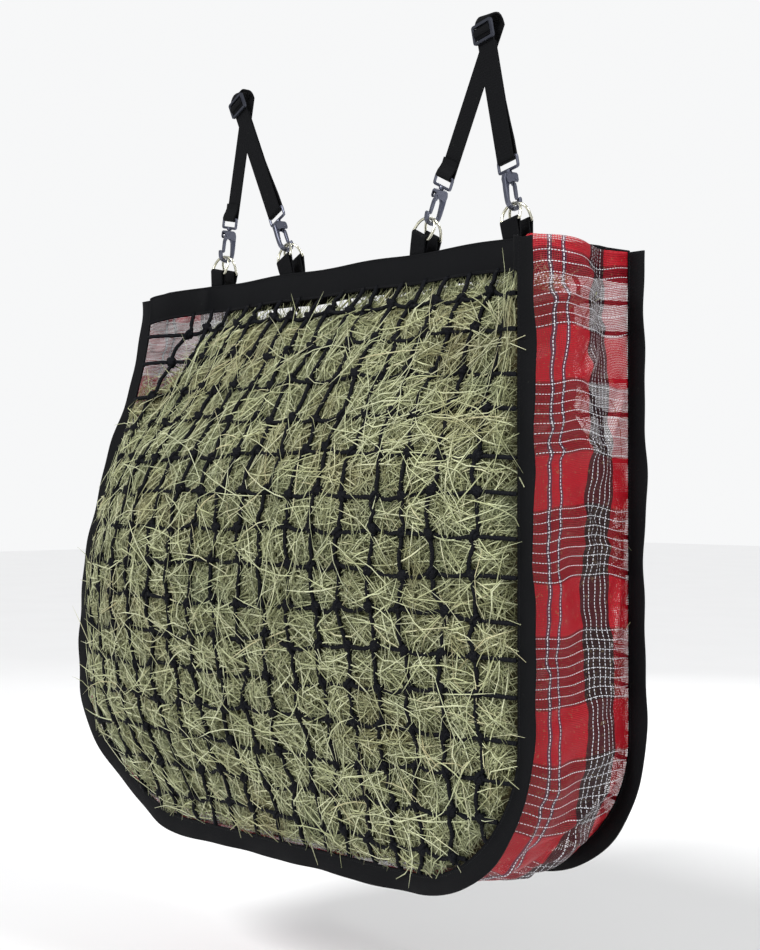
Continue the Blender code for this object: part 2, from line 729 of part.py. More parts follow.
def build_tab(name, s, bar, phi):
    """Webbing folded over the ring's bar; both plies run down inside the band."""
    r = (RING_R + GAP) * MM / MM * 1.0
    rad = RING_R * MM + GAP + WEB_T / 2
    ez = Vector((math.sin(phi), 0, math.cos(phi)))
    ex = Vector((math.cos(phi), 0, -math.sin(phi)))
    ey = Vector((0, 1, 0))
    pts, dirs = [], []
    foot_x = bar.x - 12.0 * MM * math.sin(phi) / math.cos(phi)

    def surf(x, z):
        return surface_y(x, z, s < 0)

    def foot(ply, z):
        # plies lie against the inner face of the band
        base = surf(foot_x, z) - s * (BAND_T / 2 + GAP + WEB_T / 2 + ply * (WEB_T + GAP))
        return Vector((foot_x, base, z))

    outer, inner = [], []
    for z in (TAB_TAIL_Z, -0.272, -0.262, -0.2545):
        outer.append(foot(0, z))
        inner.append(foot(1, z))
    # tangent points beside the bar: outer ply on the outer side of it
    o_top = bar + ey * (s * rad)
    i_top = bar - ey * (s * rad)
    for t in (0.45, 0.8):
        outer.append(lerp(outer[3], o_top, t) if t > 0.9 else outer[3].lerp(o_top, t))
        inner.append(inner[3].lerp(i_top, t))
    chain = outer[:]
    turn = []
    for k in range(0, 7):
        a = math.pi * k / 6
        turn.append(bar + ey * (s * rad * math.cos(a)) + ez * (rad * math.sin(a)))
    chain += turn
    chain += inner[::-1]
    for p in chain:
        f = smooth((p.z - (-0.2545)) / (bar.z - 3.0 * MM - (-0.2545)))
        pts.append(p)
        dirs.append(Vector((1, 0, 0)).lerp(ex, f).normalized())
    return strip(name, pts, dirs, WEB_W, WEB_T, M_WEB)


# ---------------------------------------------------------------- straps
def leg_line(side, seat_x, z):
    """X of a leg's middle line at a height."""
    phi = leg_angle(side, seat_x)
    return side * STRAP_X - (LEG_TOP_Z - z) * math.tan(phi)


def build_strap(tag, side):
    left = [h for h in HANGERS if h[1] == side and h[2] == "left_leg"][0]
    right = [h for h in HANGERS if h[1] == side and h[2] == "right_leg"][0]
    fold_r = EYE_R * MM + GAP + WEB_T / 2
    pts, dirs = [], []

    def frame(h):
        phi = leg_angle(side, h[3])
        ez = Vector((math.sin(phi), 0, math.cos(phi)))
        ex = Vector((math.cos(phi), 0, -math.sin(phi)))
        bar = Vector((h[3], 0, SEAT_Z)) + ez * (EYE_BAR_HIGH * MM)
        return phi, ez, ex, bar

    phi_r, ez_r, ex_r, bar_r = frame(right)
    phi_l, ez_l, ex_l, bar_l = frame(left)
    # top of the right-hand leg, where the front strand leaves the rail
    top_f = Vector((leg_line(side, right[3], 0.0), -LOOP_R, 0.0))
    top_b = Vector((leg_line(side, left[3], 0.0), LOOP_R, 0.0))
    low_f = bar_r + Vector((0, -fold_r, 0))
    low_b = bar_l + Vector((0, fold_r, 0))

    def put(p, d):
        pts.append(p.copy())
        dirs.append(d.copy())

    # return ply, from below the slider down behind the front strand
    ply = WEB_T + GAP + 0.15 * MM
    for t in (0.17, 0.3, 0.45, 0.6, 0.75, 0.88):
        p = top_f.lerp(low_f, t)
        spread = smooth((t - 0.6) / 0.4)
        p.y = lerp(p.y + ply, fold_r, spread)
        put(p, ex_r)
    # fold round the eye's upper bar, from the back to the front
    for k in range(0, 7):
        a = math.pi * k / 6
        put(bar_r + Vector((0, fold_r * math.cos(a), 0)) - ez_r * (fold_r * math.sin(a)), ex_r)
    # front strand up to the rail
    for t in (0.85, 0.7, 0.55, 0.4, 0.25, 0.12, 0.0):
        put(top_f.lerp(low_f, t), ex_r)
    # over the rail
    steps = 9
    for k in range(1, steps):
        a = math.pi * k / steps
        f = k / steps
        x = lerp(top_f.x, top_b.x, f)
        d = ex_r.lerp(ex_l, smooth(f)).normalized()
        d = Vector((d.x, 0, 0)).lerp(d, abs(math.cos(a))).normalized()
        put(Vector((x, -LOOP_R * math.cos(a), LOOP_R * math.sin(a))), d)
    # back strand down to the left-hand snap
    for t in (0.0, 0.15, 0.3, 0.45, 0.6, 0.75, 0.88):
        put(top_b.lerp(low_b, t), ex_l)
    for k in range(0, 7):
        a = math.pi * k / 6
        put(bar_l + Vector((0, fold_r * math.cos(a), 0)) - ez_l * (fold_r * math.sin(a)), ex_l)
    # sewn tail, up the front of the strand
    for d, y in ((4.0, -2.1), (8.0, -0.1), (13.0, 0.75), (20.0, 1.05)):
        p = bar_l + ez_l * (d * MM)
        behind = low_b.lerp(top_b, d * MM / (top_b - low_b).length).y
        py = behind - (WEB_T + GAP + 0.1 * MM)
        s = smooth(d / 13.0)
        p.y = lerp(-fold_r, py, s)
        put(p, ex_l)
    return strip("strap_" + tag, pts, dirs, WEB_W, WEB_T, M_WEB)


def slider_frame(side):
    """Local frame of a slider: Z up the front strand, -Y out of its face."""
    right = [h for h in HANGERS if h[1] == side and h[2] == "right_leg"][0]
    phi = leg_angle(side, right[3])
    ez = Vector((math.sin(phi), 0, math.cos(phi)))
    bar = Vector((right[3], 0, SEAT_Z)) + ez * (EYE_BAR_HIGH * MM)
    fold_r = EYE_R * MM + GAP + WEB_T / 2
    low = bar + Vector((0, -fold_r, 0))
    top = Vector((leg_line(side, right[3], 0.0), -LOOP_R, 0.0))
    up = (top - low).normalized()
    t = (SLIDER_Z - low.z) / (top.z - low.z)
    mid = low.lerp(top, t)
    ex = Vector((math.cos(phi), 0, -math.sin(phi)))
    ex = (ex - up * ex.dot(up)).normalized()
    ey = up.cross(ex).normalized()
    m = Matrix((
        (ex.x, ey.x, up.x, mid.x),
        (ex.y, ey.y, up.y, mid.y),
        (ex.z, ey.z, up.z, mid.z),
        (0, 0, 0, 1)))
    return m


def slider_mesh():
    w, h, t = SLIDER_W / 2, SLIDER_H / 2, SLIDER_T
    y1 = -(WEB_T / MM) / 2 - 0.35
    y0 = y1 - t
    bm = bmesh.new()
    # flat frame with two slots, cut from a grid of faces
    xs = [-w, -w + 3.6, w - 3.6, w]
    zs = [-h, -h + 3.2, -2.1, 2.1, h - 3.2, h]
    grid = {}
    for i, x in enumerate(xs):
        for j, z in enumerate(zs):
            grid[(i, j)] = bm.verts.new((x * MM, y0 * MM, z * MM))
    faces = []
    for i in range(3):
        for j in range(5):
            if i == 1 and j in (1, 3):
                continue
            faces.append(bm.faces.new((grid[(i, j)], grid[(i + 1, j)],
                                       grid[(i + 1, j + 1)], grid[(i, j + 1)])))
    out = bmesh.ops.extrude_face_region(bm, geom=faces)
    moved = [g for g in out["geom"] if isinstance(g, bmesh.types.BMVert)]
    bmesh.ops.translate(bm, verts=moved, vec=(0, (y1 - y0) * MM, 0))
    # round the four outer corners
    corner = [e for e in bm.edges
              if abs(abs(e.verts[0].co.x) - w * MM) < 1e-6 and abs(abs(e.verts[0].co.z) - h * MM) < 1e-6
              and abs(e.verts[0].co.x - e.verts[1].co.x) < 1e-7
              and abs(e.verts[0].co.z - e.verts[1].co.z) < 1e-7]
    bmesh.ops.bevel(bm, geom=corner, offset=3.0 * MM, segments=3, profile=0.5, affect="EDGES")
    return finish_bmesh(bm, "slider", 35.0)


SLIDER_MESH = slider_mesh()


def slider_wrap_mesh():
    """The webbing where it arches over the slider's middle bar."""
    y_back = -(WEB_T / MM) / 2 - 0.35 - 0.1
    y_bar = y_back - SLIDER_T + 0.1
    t = WEB_T / MM
    path = [(-6.4, y_back - t / 2), (-5.0, y_back - t / 2 - 0.6), (-3.9, y_back - 2.3),
            (-3.0, y_bar - 0.9), (-1.6, y_bar - 0.35 - t / 2), (1.6, y_bar - 0.35 - t / 2),
            (3.0, y_bar - 0.9), (3.9, y_back - 2.3), (5.0, y_back - t / 2 - 0.6),
            (6.4, y_back - t / 2)]
    bm = bmesh.new()
    half = 12.3
    rows = []
    for z, y in path:
        rows.append((bm.verts.new((-half * MM, y * MM, z * MM)), bm.verts.new((half * MM, y * MM, z * MM))))
    for a, b in zip(rows, rows[1:]):
        bm.faces.new((a[0], a[1], b[1], b[0]))
    me = bpy.data.meshes.new("slider_wrap")
    bm.to_mesh(me)
    bm.free()
    me.shade_smooth()
    return me


WRAP_MESH = slider_wrap_mesh()

# ---------------------------------------------------------------- assemble
for tag, side in (("left", -1), ("right", 1)):
    build_strap(tag, side)
    fr = slider_frame(side)
    new_object("slider_" + tag, SLIDER_MESH, M_SLIDE, fr)
    wrap = new_object("slider_wrap_" + tag, WRAP_MESH, M_WEB, fr)
    sol = wrap.modifiers.new("thickness", "SOLIDIFY")
    sol.thickness = 1.5 * MM
    sol.offset = 0.0
    sol.use_even_offset = True

for h in HANGERS:
    build_hanger(*h)

build_band("front_top_band", True)
build_band("back_top_band", False)
build_fin("front_edge_binding", True)
build_fin("back_edge_binding", False)
build_net("front_net", True)
build_net("back_net", False)
build_gusset()
build_hay()

bpy.data.objects.remove(eye_master, do_unlink=True)
bpy.data.objects.remove(gate_master, do_unlink=True)
bpy.data.objects.remove(master, do_unlink=True)
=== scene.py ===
import math

import bmesh
import bpy
import numpy as np
from mathutils import Matrix, Vector


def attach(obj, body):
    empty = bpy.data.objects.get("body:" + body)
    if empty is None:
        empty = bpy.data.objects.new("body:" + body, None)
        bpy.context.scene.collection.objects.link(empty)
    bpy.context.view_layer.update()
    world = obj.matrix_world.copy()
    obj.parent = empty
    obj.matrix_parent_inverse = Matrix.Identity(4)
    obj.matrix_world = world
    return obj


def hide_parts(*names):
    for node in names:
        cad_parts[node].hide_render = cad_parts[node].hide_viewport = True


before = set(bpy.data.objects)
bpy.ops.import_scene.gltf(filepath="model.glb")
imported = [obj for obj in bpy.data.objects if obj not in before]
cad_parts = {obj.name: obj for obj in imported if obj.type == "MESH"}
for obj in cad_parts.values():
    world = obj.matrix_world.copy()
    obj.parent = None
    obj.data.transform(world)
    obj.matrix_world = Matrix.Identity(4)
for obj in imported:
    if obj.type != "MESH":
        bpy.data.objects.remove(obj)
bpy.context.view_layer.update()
RNG = np.random.default_rng(7)
MM = 0.001

# ------------------------------------------------------------------ sizes, as in the CAD
HALF_W, FIN_W, FIN_T = 0.357, 0.025, 0.003
BAND_H, BAND_T = 0.038, 0.003
MOUTH_Z, DROP_R, DROP_L = -0.2535, 0.013, 0.018
SEAM_Z, SEAM_R = -0.9595, 0.150
ZC = SEAM_Z + SEAM_R
MOUTH_HALF, BELLY_F, BELLY_B = 0.013, 0.062, 0.032
HAY_TOP = -0.318
STRAP_X, SEAT_Z, SEAT_OUT, SEAT_IN = 0.241, -0.2127, 0.281, 0.144
HANGERS = [("outer_left", -1, "left_leg", -SEAT_OUT), ("inner_left", -1, "right_leg", -SEAT_IN),
           ("inner_right", 1, "left_leg", SEAT_IN), ("outer_right", 1, "right_leg", SEAT_OUT)]


# ------------------------------------------------------------------ camera, floor, light
scene = bpy.context.scene
cam_data = bpy.data.cameras.new("camera")
cam = bpy.data.objects.new("camera", cam_data)
scene.collection.objects.link(cam)
az = math.radians(50.0)
look = Vector((-math.sin(az), math.cos(az), math.tan(math.radians(0.51)))).normalized()
cam.location = (1.6227, -1.3213, -0.5331)
cam.rotation_euler = look.to_track_quat("-Z", "Y").to_euler()
cam_data.sensor_fit = "AUTO"
cam_data.sensor_width = 36.0
cam_data.lens = 63.66
cam_data.clip_start = 0.05
cam_data.clip_end = 100.0
scene.camera = cam


def area_light(name, loc, target, size, power, colour=(1, 1, 1)):
    li = bpy.data.lights.new(name, "AREA")
    li.shape = "DISK"
    li.size = size
    li.energy = power
    li.color = colour
    ob = bpy.data.objects.new(name, li)
    scene.collection.objects.link(ob)
    ob.location = loc
    ob.rotation_euler = (Vector(target) - Vector(loc)).to_track_quat("-Z", "Y").to_euler()
    return ob


def sun_light(name, towards, power, angle):
    li = bpy.data.lights.new(name, "SUN")
    li.energy = power
    li.angle = math.radians(angle)
    ob = bpy.data.objects.new(name, li)
    scene.collection.objects.link(ob)
    ob.rotation_euler = Vector(towards).to_track_quat("-Z", "Y").to_euler()
    return ob


sun_light("key", (-0.25, 2.6, -2.3), 2.9, 20.0)
area_light("side", (1.9, 0.1, 1.1), (0.3, 0, -0.6), 0.6, 34)
area_light("rim", (-1.8, 2.4, 0.8), (0, 0, -0.5), 1.6, 30)

world = bpy.data.worlds.new("studio")
scene.world = world
world.use_nodes = True
wn, wl = world.node_tree.nodes, world.node_tree.links
wn["Background"].inputs[0].default_value = (0.97, 0.98, 1.0, 1.0)
wn["Background"].inputs[1].default_value = 0.40
seen = wn.new("ShaderNodeBackground")
seen.inputs[0].default_value = (0.93, 0.935, 0.94, 1.0)
seen.inputs[1].default_value = 1.0
path = wn.new("ShaderNodeLightPath")
both = wn.new("ShaderNodeMixShader")
wl.new(path.outputs["Is Camera Ray"], both.inputs[0])
wl.new(wn["Background"].outputs[0], both.inputs[1])
wl.new(seen.outputs[0], both.inputs[2])
wl.new(both.outputs[0], wn["World Output"].inputs[0])
scene.view_settings.view_transform = "Standard"


# ------------------------------------------------------------------ node helpers
class Mat:
    def __init__(self, name):
        self.m = bpy.data.materials.new(name)
        self.m.use_nodes = True
        self.nt = self.m.node_tree
        self.p = self.nt.nodes["Principled BSDF"]

    def node(self, kind, **props):
        n = self.nt.nodes.new(kind)
        for k, v in props.items():
            setattr(n, k, v)
        return n

    def put(self, socket, value):
        if isinstance(value, bpy.types.NodeSocket):
            self.nt.links.new(value, socket)
        elif isinstance(value, (tuple, list)) and len(value) == 3 and socket.type == "RGBA":
            socket.default_value = (*value, 1.0)
        else:
            socket.default_value = value

    def math(self, op, a, b=0.0, c=0.0, clamp=False):
        n = self.node("ShaderNodeMath", operation=op, use_clamp=clamp)
        self.put(n.inputs[0], a)
        self.put(n.inputs[1], b)
        self.put(n.inputs[2], c)
        return n.outputs[0]

    def mix(self, fac, a, b, blend="MIX"):
        n = self.node("ShaderNodeMix", data_type="RGBA", blend_type=blend)
        self.put(n.inputs[0], fac)
        self.put(n.inputs[6], a)
        self.put(n.inputs[7], b)
        return n.outputs[2]

    def uv(self):
        n = self.node("ShaderNodeUVMap", uv_map="UVMap")
        s = self.node("ShaderNodeSeparateXYZ")
        self.put(s.inputs[0], n.outputs[0])
        return n.outputs[0], s.outputs[0], s.outputs[1]

    def obj(self):
        n = self.node("ShaderNodeTexCoord")
        s = self.node("ShaderNodeSeparateXYZ")
        self.put(s.inputs[0], n.outputs["Object"])
        return n.outputs["Object"], s.outputs[0], s.outputs[1], s.outputs[2]

    def noise(self, vec, scale, detail=2.0, rough=0.5):
        n = self.node("ShaderNodeTexNoise")
        self.put(n.inputs["Vector"], vec)
        n.inputs["Scale"].default_value = scale
        n.inputs["Detail"].default_value = detail
        n.inputs["Roughness"].default_value = rough
        return n.outputs["Fac"]

    def ramp(self, fac, stops, kind="LINEAR"):
        n = self.node("ShaderNodeValToRGB")
        n.color_ramp.interpolation = kind
        els = n.color_ramp.elements
        while len(els) < len(stops):
            els.new(0.5)
        for e, (pos, col) in zip(els, stops):
            e.position = pos
            e.color = (*col, 1.0) if len(col) == 3 else col
        self.put(n.inputs[0], fac)
        return n.outputs[0]

    def bump(self, height, strength, dist):
        n = self.node("ShaderNodeBump")
        n.inputs["Strength"].default_value = strength
        n.inputs["Distance"].default_value = dist
        self.put(n.inputs["Height"], height)
        return n.outputs[0]

    def sine(self, v, period):
        """0..1 wave of a coordinate in metres."""
        s = self.math("SINE", self.math("MULTIPLY", v, 2 * math.pi / period))
        return self.math("MULTIPLY_ADD", s, 0.5, 0.5)

    def band(self, v, centre, half, soft=0.25):
        """1 inside centre +- half."""
        d = self.math("ABSOLUTE", self.math("SUBTRACT", v, centre))
        return self.math("SUBTRACT", 1.0, self.math("SMOOTHSTEP", d, half * (1 - soft), half * (1 + soft))) \
            if False else self.math("LESS_THAN", d, half)

    def set(self, **kw):
        for k, v in kw.items():
            self.put(self.p.inputs[k.replace("_", " ")], v)


def webbing_material(name, uv, dark=(0.0014, 0.0015, 0.0019), light=(0.0056, 0.0060, 0.0074)):
    m = Mat(name)
    if uv:
        vec, u, v = m.uv()
    else:
        vec, u, _, v = m.obj()
    # warp ribs along the webbing, crossed by picks
    warp = m.sine(u, 0.0013)
    pick = m.sine(m.math("ADD", v, m.math("MULTIPLY", u, 0.35)), 0.0017)
    weave = m.math("MULTIPLY_ADD", pick, 0.6, m.math("MULTIPLY", warp, 0.4))
    fuzz = m.noise(vec, 900.0, 3.0, 0.6)
    patch = m.noise(vec, 26.0, 3.0, 0.55)
    dust = m.noise(vec, 160.0, 2.0, 0.7)
    t = m.math("ADD", m.math("MULTIPLY", weave, 0.35), m.math("MULTIPLY", patch, 0.45))
    col = m.mix(t, dark, light)
    col = m.mix(m.math("MULTIPLY", m.math("GREATER_THAN", dust, 0.72), 0.35), col, (0.035, 0.034, 0.028))
    m.set(Base_Color=col, Roughness=m.math("MULTIPLY_ADD", patch, 0.22, 0.52))
    h = m.math("ADD", weave, m.math("MULTIPLY", fuzz, 0.35))
    m.set(Normal=m.bump(h, 0.55, 0.0005))
    m.p.inputs["Specular IOR Level"].default_value = 0.09
    return m.m


def cord_material():
    m = Mat("net_cord")
    vec, u, v = m.uv()
    ovec, _, _, _ = m.obj()
    a = m.sine(m.math("ADD", v, m.math("MULTIPLY", u, 0.004)), 0.0034)
    b = m.sine(m.math("SUBTRACT", v, m.math("MULTIPLY", u, 0.004)), 0.0034)
    braid = m.math("MAXIMUM", a, b)
    n = m.noise(ovec, 55.0, 3.0, 0.6)
    fuzz = m.noise(ovec, 1400.0, 2.0, 0.7)
    t = m.math("ADD", m.math("MULTIPLY", braid, 0.4), m.math("MULTIPLY", n, 0.5))
    col = m.mix(t, (0.0016, 0.0018, 0.0028), (0.0062, 0.0070, 0.0100))
    dust = m.math("MULTIPLY", m.math("GREATER_THAN", m.noise(ovec, 260.0, 2.0, 0.6), 0.68), 0.4)
    col = m.mix(dust, col, (0.050, 0.050, 0.035))
    m.set(Base_Color=col, Roughness=m.math("MULTIPLY_ADD", n, 0.2, 0.60))
    m.set(Normal=m.bump(m.math("ADD", braid, m.math("MULTIPLY", fuzz, 0.5)), 0.8, 0.0006))
    m.p.inputs["Specular IOR Level"].default_value = 0.10
    return m.m


def plaid_material():
    """Vinyl-coated mesh: u runs across the gusset from its front edge, v along it."""
    m = Mat("plaid_mesh")
    vec, u, v = m.uv()
    ovec, _, _, _ = m.obj()
    width = 0.196
    um = m.math("MULTIPLY", u, width)          # metres across
    # --- bands of colour
    warp_black = m.band(u, 0.672, 0.118)
    phase = m.math("FLOORED_MODULO", m.math("SUBTRACT", v, 0.015), 0.135)
    weft_dark = m.math("LESS_THAN", phase, 0.079)
    red = (0.42, 0.006, 0.016)
    deep = (0.25, 0.006, 0.015)
    maroon = (0.045, 0.003, 0.007)
    black = (0.0085, 0.0055, 0.009)
    tone = m.noise(ovec, 38.0, 3.0, 0.6)
    shade = m.math("MULTIPLY_ADD", tone, 0.5, 0.75)
    ground = m.mix(weft_dark, red, deep)
    dark = m.mix(weft_dark, maroon, black)
    col = m.mix(warp_black, ground, dark)
    # --- thread checks: alternate threads keep the red or the dark of their own set
    thread_u = m.math("FLOORED_MODULO", um, 0.0019)
    thread_v = m.math("FLOORED_MODULO", v, 0.0019)
    check = m.math("LESS_THAN", m.math("MULTIPLY",
                                       m.math("SUBTRACT", thread_u, 0.00095),
                                       m.math("SUBTRACT", thread_v, 0.00095)), 0.0)
    col = m.mix(m.math("MULTIPLY", check, 0.30), col, m.mix(warp_black, (0.30, 0.005, 0.012), (0.09, 0.003, 0.007)))
    # --- white dashes along the gusset, with blue-black edging on the first pair
    dash_v = m.math("LESS_THAN", m.math("FLOORED_MODULO", v, 0.0040), 0.0026)
    dash_u = m.math("LESS_THAN", m.math("FLOORED_MODULO", um, 0.0040), 0.0026)

    def stripe(c, half):
        return m.band(u, c, half)

    edging = m.math("MAXIMUM", stripe(0.215, 0.017), stripe(0.300, 0.014))
    col = m.mix(m.math("MULTIPLY", edging, 0.72), col, (0.020, 0.030, 0.060))
    longways = m.math("MAXIMUM", stripe(0.215, 0.0027), stripe(0.300, 0.0024))
    for c in (0.592, 0.630, 0.676, 0.716, 0.756):
        longways = m.math("MAXIMUM", longways, stripe(c, 0.0023))
    longways = m.math("MULTIPLY", longways, dash_v)
    # --- white dashes across, eight to a group
    sub = m.math("FLOORED_MODULO", phase, 0.0105)
    across = m.math("LESS_THAN", m.math("ABSOLUTE", m.math("SUBTRACT", sub, 0.0030)), 0.00038)
    across = m.math("MULTIPLY", m.math("MULTIPLY", across, dash_u),
                    m.math("LESS_THAN", phase, 0.0785))
    white = m.math("MAXIMUM", longways, across)
    col = m.mix(m.math("MULTIPLY", white, 0.93), col, (0.74, 0.76, 0.80))
    # dirt and hay dust
    dirt = m.math("MULTIPLY", m.math("GREATER_THAN", m.noise(ovec, 210.0, 3.0, 0.65), 0.64), 0.34)
    col = m.mix(dirt, col, (0.30, 0.24, 0.12))
    soft = m.mix(1.0, col, m.ramp(shade, [(0.0, (0.55, 0.55, 0.55)), (1.0, (1, 1, 1))]), "MULTIPLY")
    # --- weave relief, and the small holes between the coated threads
    wu = m.sine(um, 0.0019)
    wv = m.sine(v, 0.0019)
    relief = m.math("MAXIMUM", wu, wv)
    hole = m.math("LESS_THAN", relief, m.math("MULTIPLY_ADD", weft_dark, 0.26, 0.45))
    m.set(Base_Color=soft, Alpha=m.math("SUBTRACT", 1.0, m.math("MULTIPLY", hole, m.math("SUBTRACT", 1.0, white))),
          Roughness=m.math("MULTIPLY_ADD", tone, 0.25, 0.30))
    m.set(Normal=m.bump(m.math("ADD", relief, m.math("MULTIPLY", white, 0.6)), 0.5, 0.0005))
    m.p.inputs["Specular IOR Level"].default_value = 0.28
    return m.m


def hay_material(name, stops, rough=0.62):
    m = Mat(name)
    vec, _, _, _ = m.obj()
    g = m.node("ShaderNodeNewGeometry")
    rnd = g.outputs["Random Per Island"]
    patch = m.noise(vec, 16.0, 3.0, 0.6)
    fac = m.math("ADD", m.math("MULTIPLY", rnd, 0.78), m.math("MULTIPLY", patch, 0.26), clamp=True)
    col = m.ramp(fac, stops)
    brown = m.math("MULTIPLY", m.math("SUBTRACT", m.noise(vec, 9.0, 2.0, 0.5), 0.52), 6.0, clamp=True)
    col = m.mix(m.math("MULTIPLY", brown, 0.42), col, m.mix(0.5, col, (0.34, 0.215, 0.085)))
    fresh = m.math("MULTIPLY", m.math("SUBTRACT", m.noise(vec, 13.0, 2.0, 0.5), 0.55), 7.0, clamp=True)
    col = m.mix(m.math("MULTIPLY", fresh, 0.45), col, m.mix(0.5, col, (0.33, 0.42, 0.27)))
    streak = m.noise(vec, 420.0, 2.0, 0.6)
    col = m.mix(m.math("MULTIPLY", streak, 0.35), col, (0.16, 0.14, 0.06))
    m.set(Base_Color=col, Roughness=rough)
    m.set(Normal=m.bump(streak, 0.4, 0.0006))
    m.p.inputs["Specular IOR Level"].default_value = 0.35
    m.p.inputs["Subsurface Weight"].default_value = 0.0
    return m.m


def metal_material(name, base, edge, rough, scale=60.0, metallic=1.0):
    m = Mat(name)
    vec, _, _, _ = m.obj()
    n = m.noise(vec, scale, 4.0, 0.6)
    fine = m.noise(vec, scale * 14, 3.0, 0.7)
    g = m.node("ShaderNodeNewGeometry")
    worn = m.math("MULTIPLY", m.math("GREATER_THAN", g.outputs["Pointiness"], 0.53), 0.4)
    col = m.mix(m.math("ADD", worn, m.math("MULTIPLY", n, 0.35), clamp=True), base, edge)
    m.set(Base_Color=col, Roughness=m.math("MULTIPLY_ADD", fine, 0.25, rough))
    m.set(Normal=m.bump(m.math("ADD", n, m.math("MULTIPLY", fine, 0.3)), 0.12, 0.0004))
    m.p.inputs["Metallic"].default_value = metallic
    return m.m


MAT_WEB_UV = webbing_material("webbing_woven", True)
MAT_WEB_OBJ = webbing_material("webbing_strap", False)
MAT_CORD = cord_material()
MAT_PLAID = plaid_material()
MAT_HAY = hay_material("hay_stems", [
    (0.0, (0.050, 0.053, 0.022)), (0.18, (0.14, 0.150, 0.066)), (0.42, (0.27, 0.29, 0.145)),
    (0.66, (0.44, 0.47, 0.26)), (0.88, (0.66, 0.69, 0.43)), (1.0, (0.30, 0.18, 0.070))])
MAT_STRAW = hay_material("hay_straws", [
    (0.0, (0.40, 0.42, 0.21)), (0.4, (0.60, 0.64, 0.37)), (0.8, (0.78, 0.81, 0.54)), (1.0, (0.50, 0.40, 0.18))])
# near-black hay for the core: painted shade, standing in for the shadow deep in the fill between the stems
MAT_HAY_PAINTED_SHADE = hay_material("hay_depth_painted_shade", [(0.0, (0.016, 0.017, 0.007)), (0.5, (0.045, 0.044, 0.019)), (1.0, (0.085, 0.078, 0.034))], 0.9)
MAT_GUN = metal_material("gunmetal_plate", (0.060, 0.066, 0.100), (0.21, 0.22, 0.27), 0.30)
MAT_RING = metal_material("ring_nickel", (0.62, 0.60, 0.44), (0.86, 0.84, 0.72), 0.14, 90.0)
MAT_SLIDE = metal_material("slider_black", (0.012, 0.014, 0.020), (0.06, 0.065, 0.085), 0.34, 80.0, 0.6)
MAT_SPRING = metal_material("spring_bright", (0.40, 0.40, 0.42), (0.7, 0.7, 0.7), 0.25)
MAT_THREAD = webbing_material("stitch_thread", False, (0.010, 0.011, 0.012), (0.030, 0.031, 0.034))


# ------------------------------------------------------------------ the bag's surfaces
def smooth(t):
    t = np.clip(t, 0.0, 1.0)
    return t * t * (3.0 - 2.0 * t)


def flare(z):
    return smooth((-0.270 - z) / 0.420)


def half_width(z):
    d = np.clip(ZC - z, 0.0, SEAM_R)
    return HALF_W - SEAM_R + np.sqrt(np.maximum(0.0, SEAM_R ** 2 - d * d))


def left_x(z):
    hw = half_width(z)
    return -(hw + 0.045 * flare(z) * (hw / HALF_W) ** 2)


def right_x(z):
    return half_width(z)


def mouth_top(x):
    drop = np.where(x > 0, DROP_R, DROP_L)
    return MOUTH_Z - drop * smooth((np.abs(x) - 0.30) / 0.082)


def front_side_y(p, z):
    left = (-72.0 - 70.0 * flare(z)) * MM
    low = smooth((-0.80 - z) / 0.16)
    y = left + (-0.070 - left) * smooth((p + 1) / 2)
    return y + ((-0.104 + 0.020 * (p + 1) / 2) - y) * low


def back_side_y(p, z):
    left = (95.0 - 40.0 * flare(z)) * MM
    low = smooth((-0.80 - z) / 0.16)
    y = left + (0.104 - left) * smooth((p + 1) / 2)
    return y + ((0.078 + 0.026 * (p + 1) / 2) - y) * low


def pinch(x):
    return 1.0 - smooth((np.abs(x) - 0.303) / (HALF_W - 0.303))


def surface_y(x, z, front):
    x, z = np.asarray(x, float), np.asarray(z, float)
    lo, hi = left_x(z), right_x(z)
    p = np.clip((x - 0.5 * (lo + hi)) / (0.5 * (hi - lo)), -1.0, 1.0)
    top = mouth_top(x)
    q = np.clip((top - z) / (top - SEAM_Z), 0.0, 1.0)
    side = front_side_y(p, z) if front else back_side_y(p, z)
    sign = -1.0 if front else 1.0
    fade = (1.0 - smooth(q / 0.42)) * pinch(x)
    y = side + (sign * MOUTH_HALF - side) * fade
    depth = BELLY_F if front else BELLY_B
    swell = np.sin(np.pi * q ** 0.85) * (1.0 - p ** 4) * smooth(q / 0.12)
    return y + sign * depth * swell


def seam_line(n_side=90, n_arc=46, n_bot=60):
    """Fine seam outline, left top corner round to right top corner."""
    tl, tr = float(mouth_top(-HALF_W - 0.02)), float(mouth_top(HALF_W + 0.02))
    z = np.linspace(tl, ZC, n_side, endpoint=False)
    pts = [np.stack([left_x(z), z], 1)]
    a = np.radians(np.linspace(0, 90, n_arc, endpoint=False))
    za = ZC - SEAM_R * np.sin(a)
    pts.append(np.stack([left_x(za), za], 1))
    xb = np.linspace(float(left_x(SEAM_Z)), float(right_x(SEAM_Z)), n_bot)
    pts.append(np.stack([xb, np.full_like(xb, SEAM_Z)], 1))
    a = a[::-1]
    za = ZC - SEAM_R * np.sin(a)
    pts.append(np.stack([right_x(za), za], 1))
    z = np.linspace(tr, ZC, n_side, endpoint=False)[::-1]
    pts.append(np.stack([right_x(z), z], 1))
    pts = np.concatenate(pts)
    # respace evenly
    d = np.concatenate([[0], np.cumsum(np.hypot(*np.diff(pts, axis=0).T))])
    n = 640
    s = np.linspace(0, d[-1], n)
    q = np.stack([np.interp(s, d, pts[:, 0]), np.interp(s, d, pts[:, 1])], 1)
    t = np.gradient(q, axis=0)
    for _ in range(6):
        t[1:-1] = (t[:-2] + 2 * t[1:-1] + t[2:]) / 4
    t /= np.linalg.norm(t, axis=1)[:, None]
    nrm = np.stack([t[:, 1], -t[:, 0]], 1)
    nrm[0], nrm[-1] = (-1, 0), (1, 0)
    return q, nrm, s


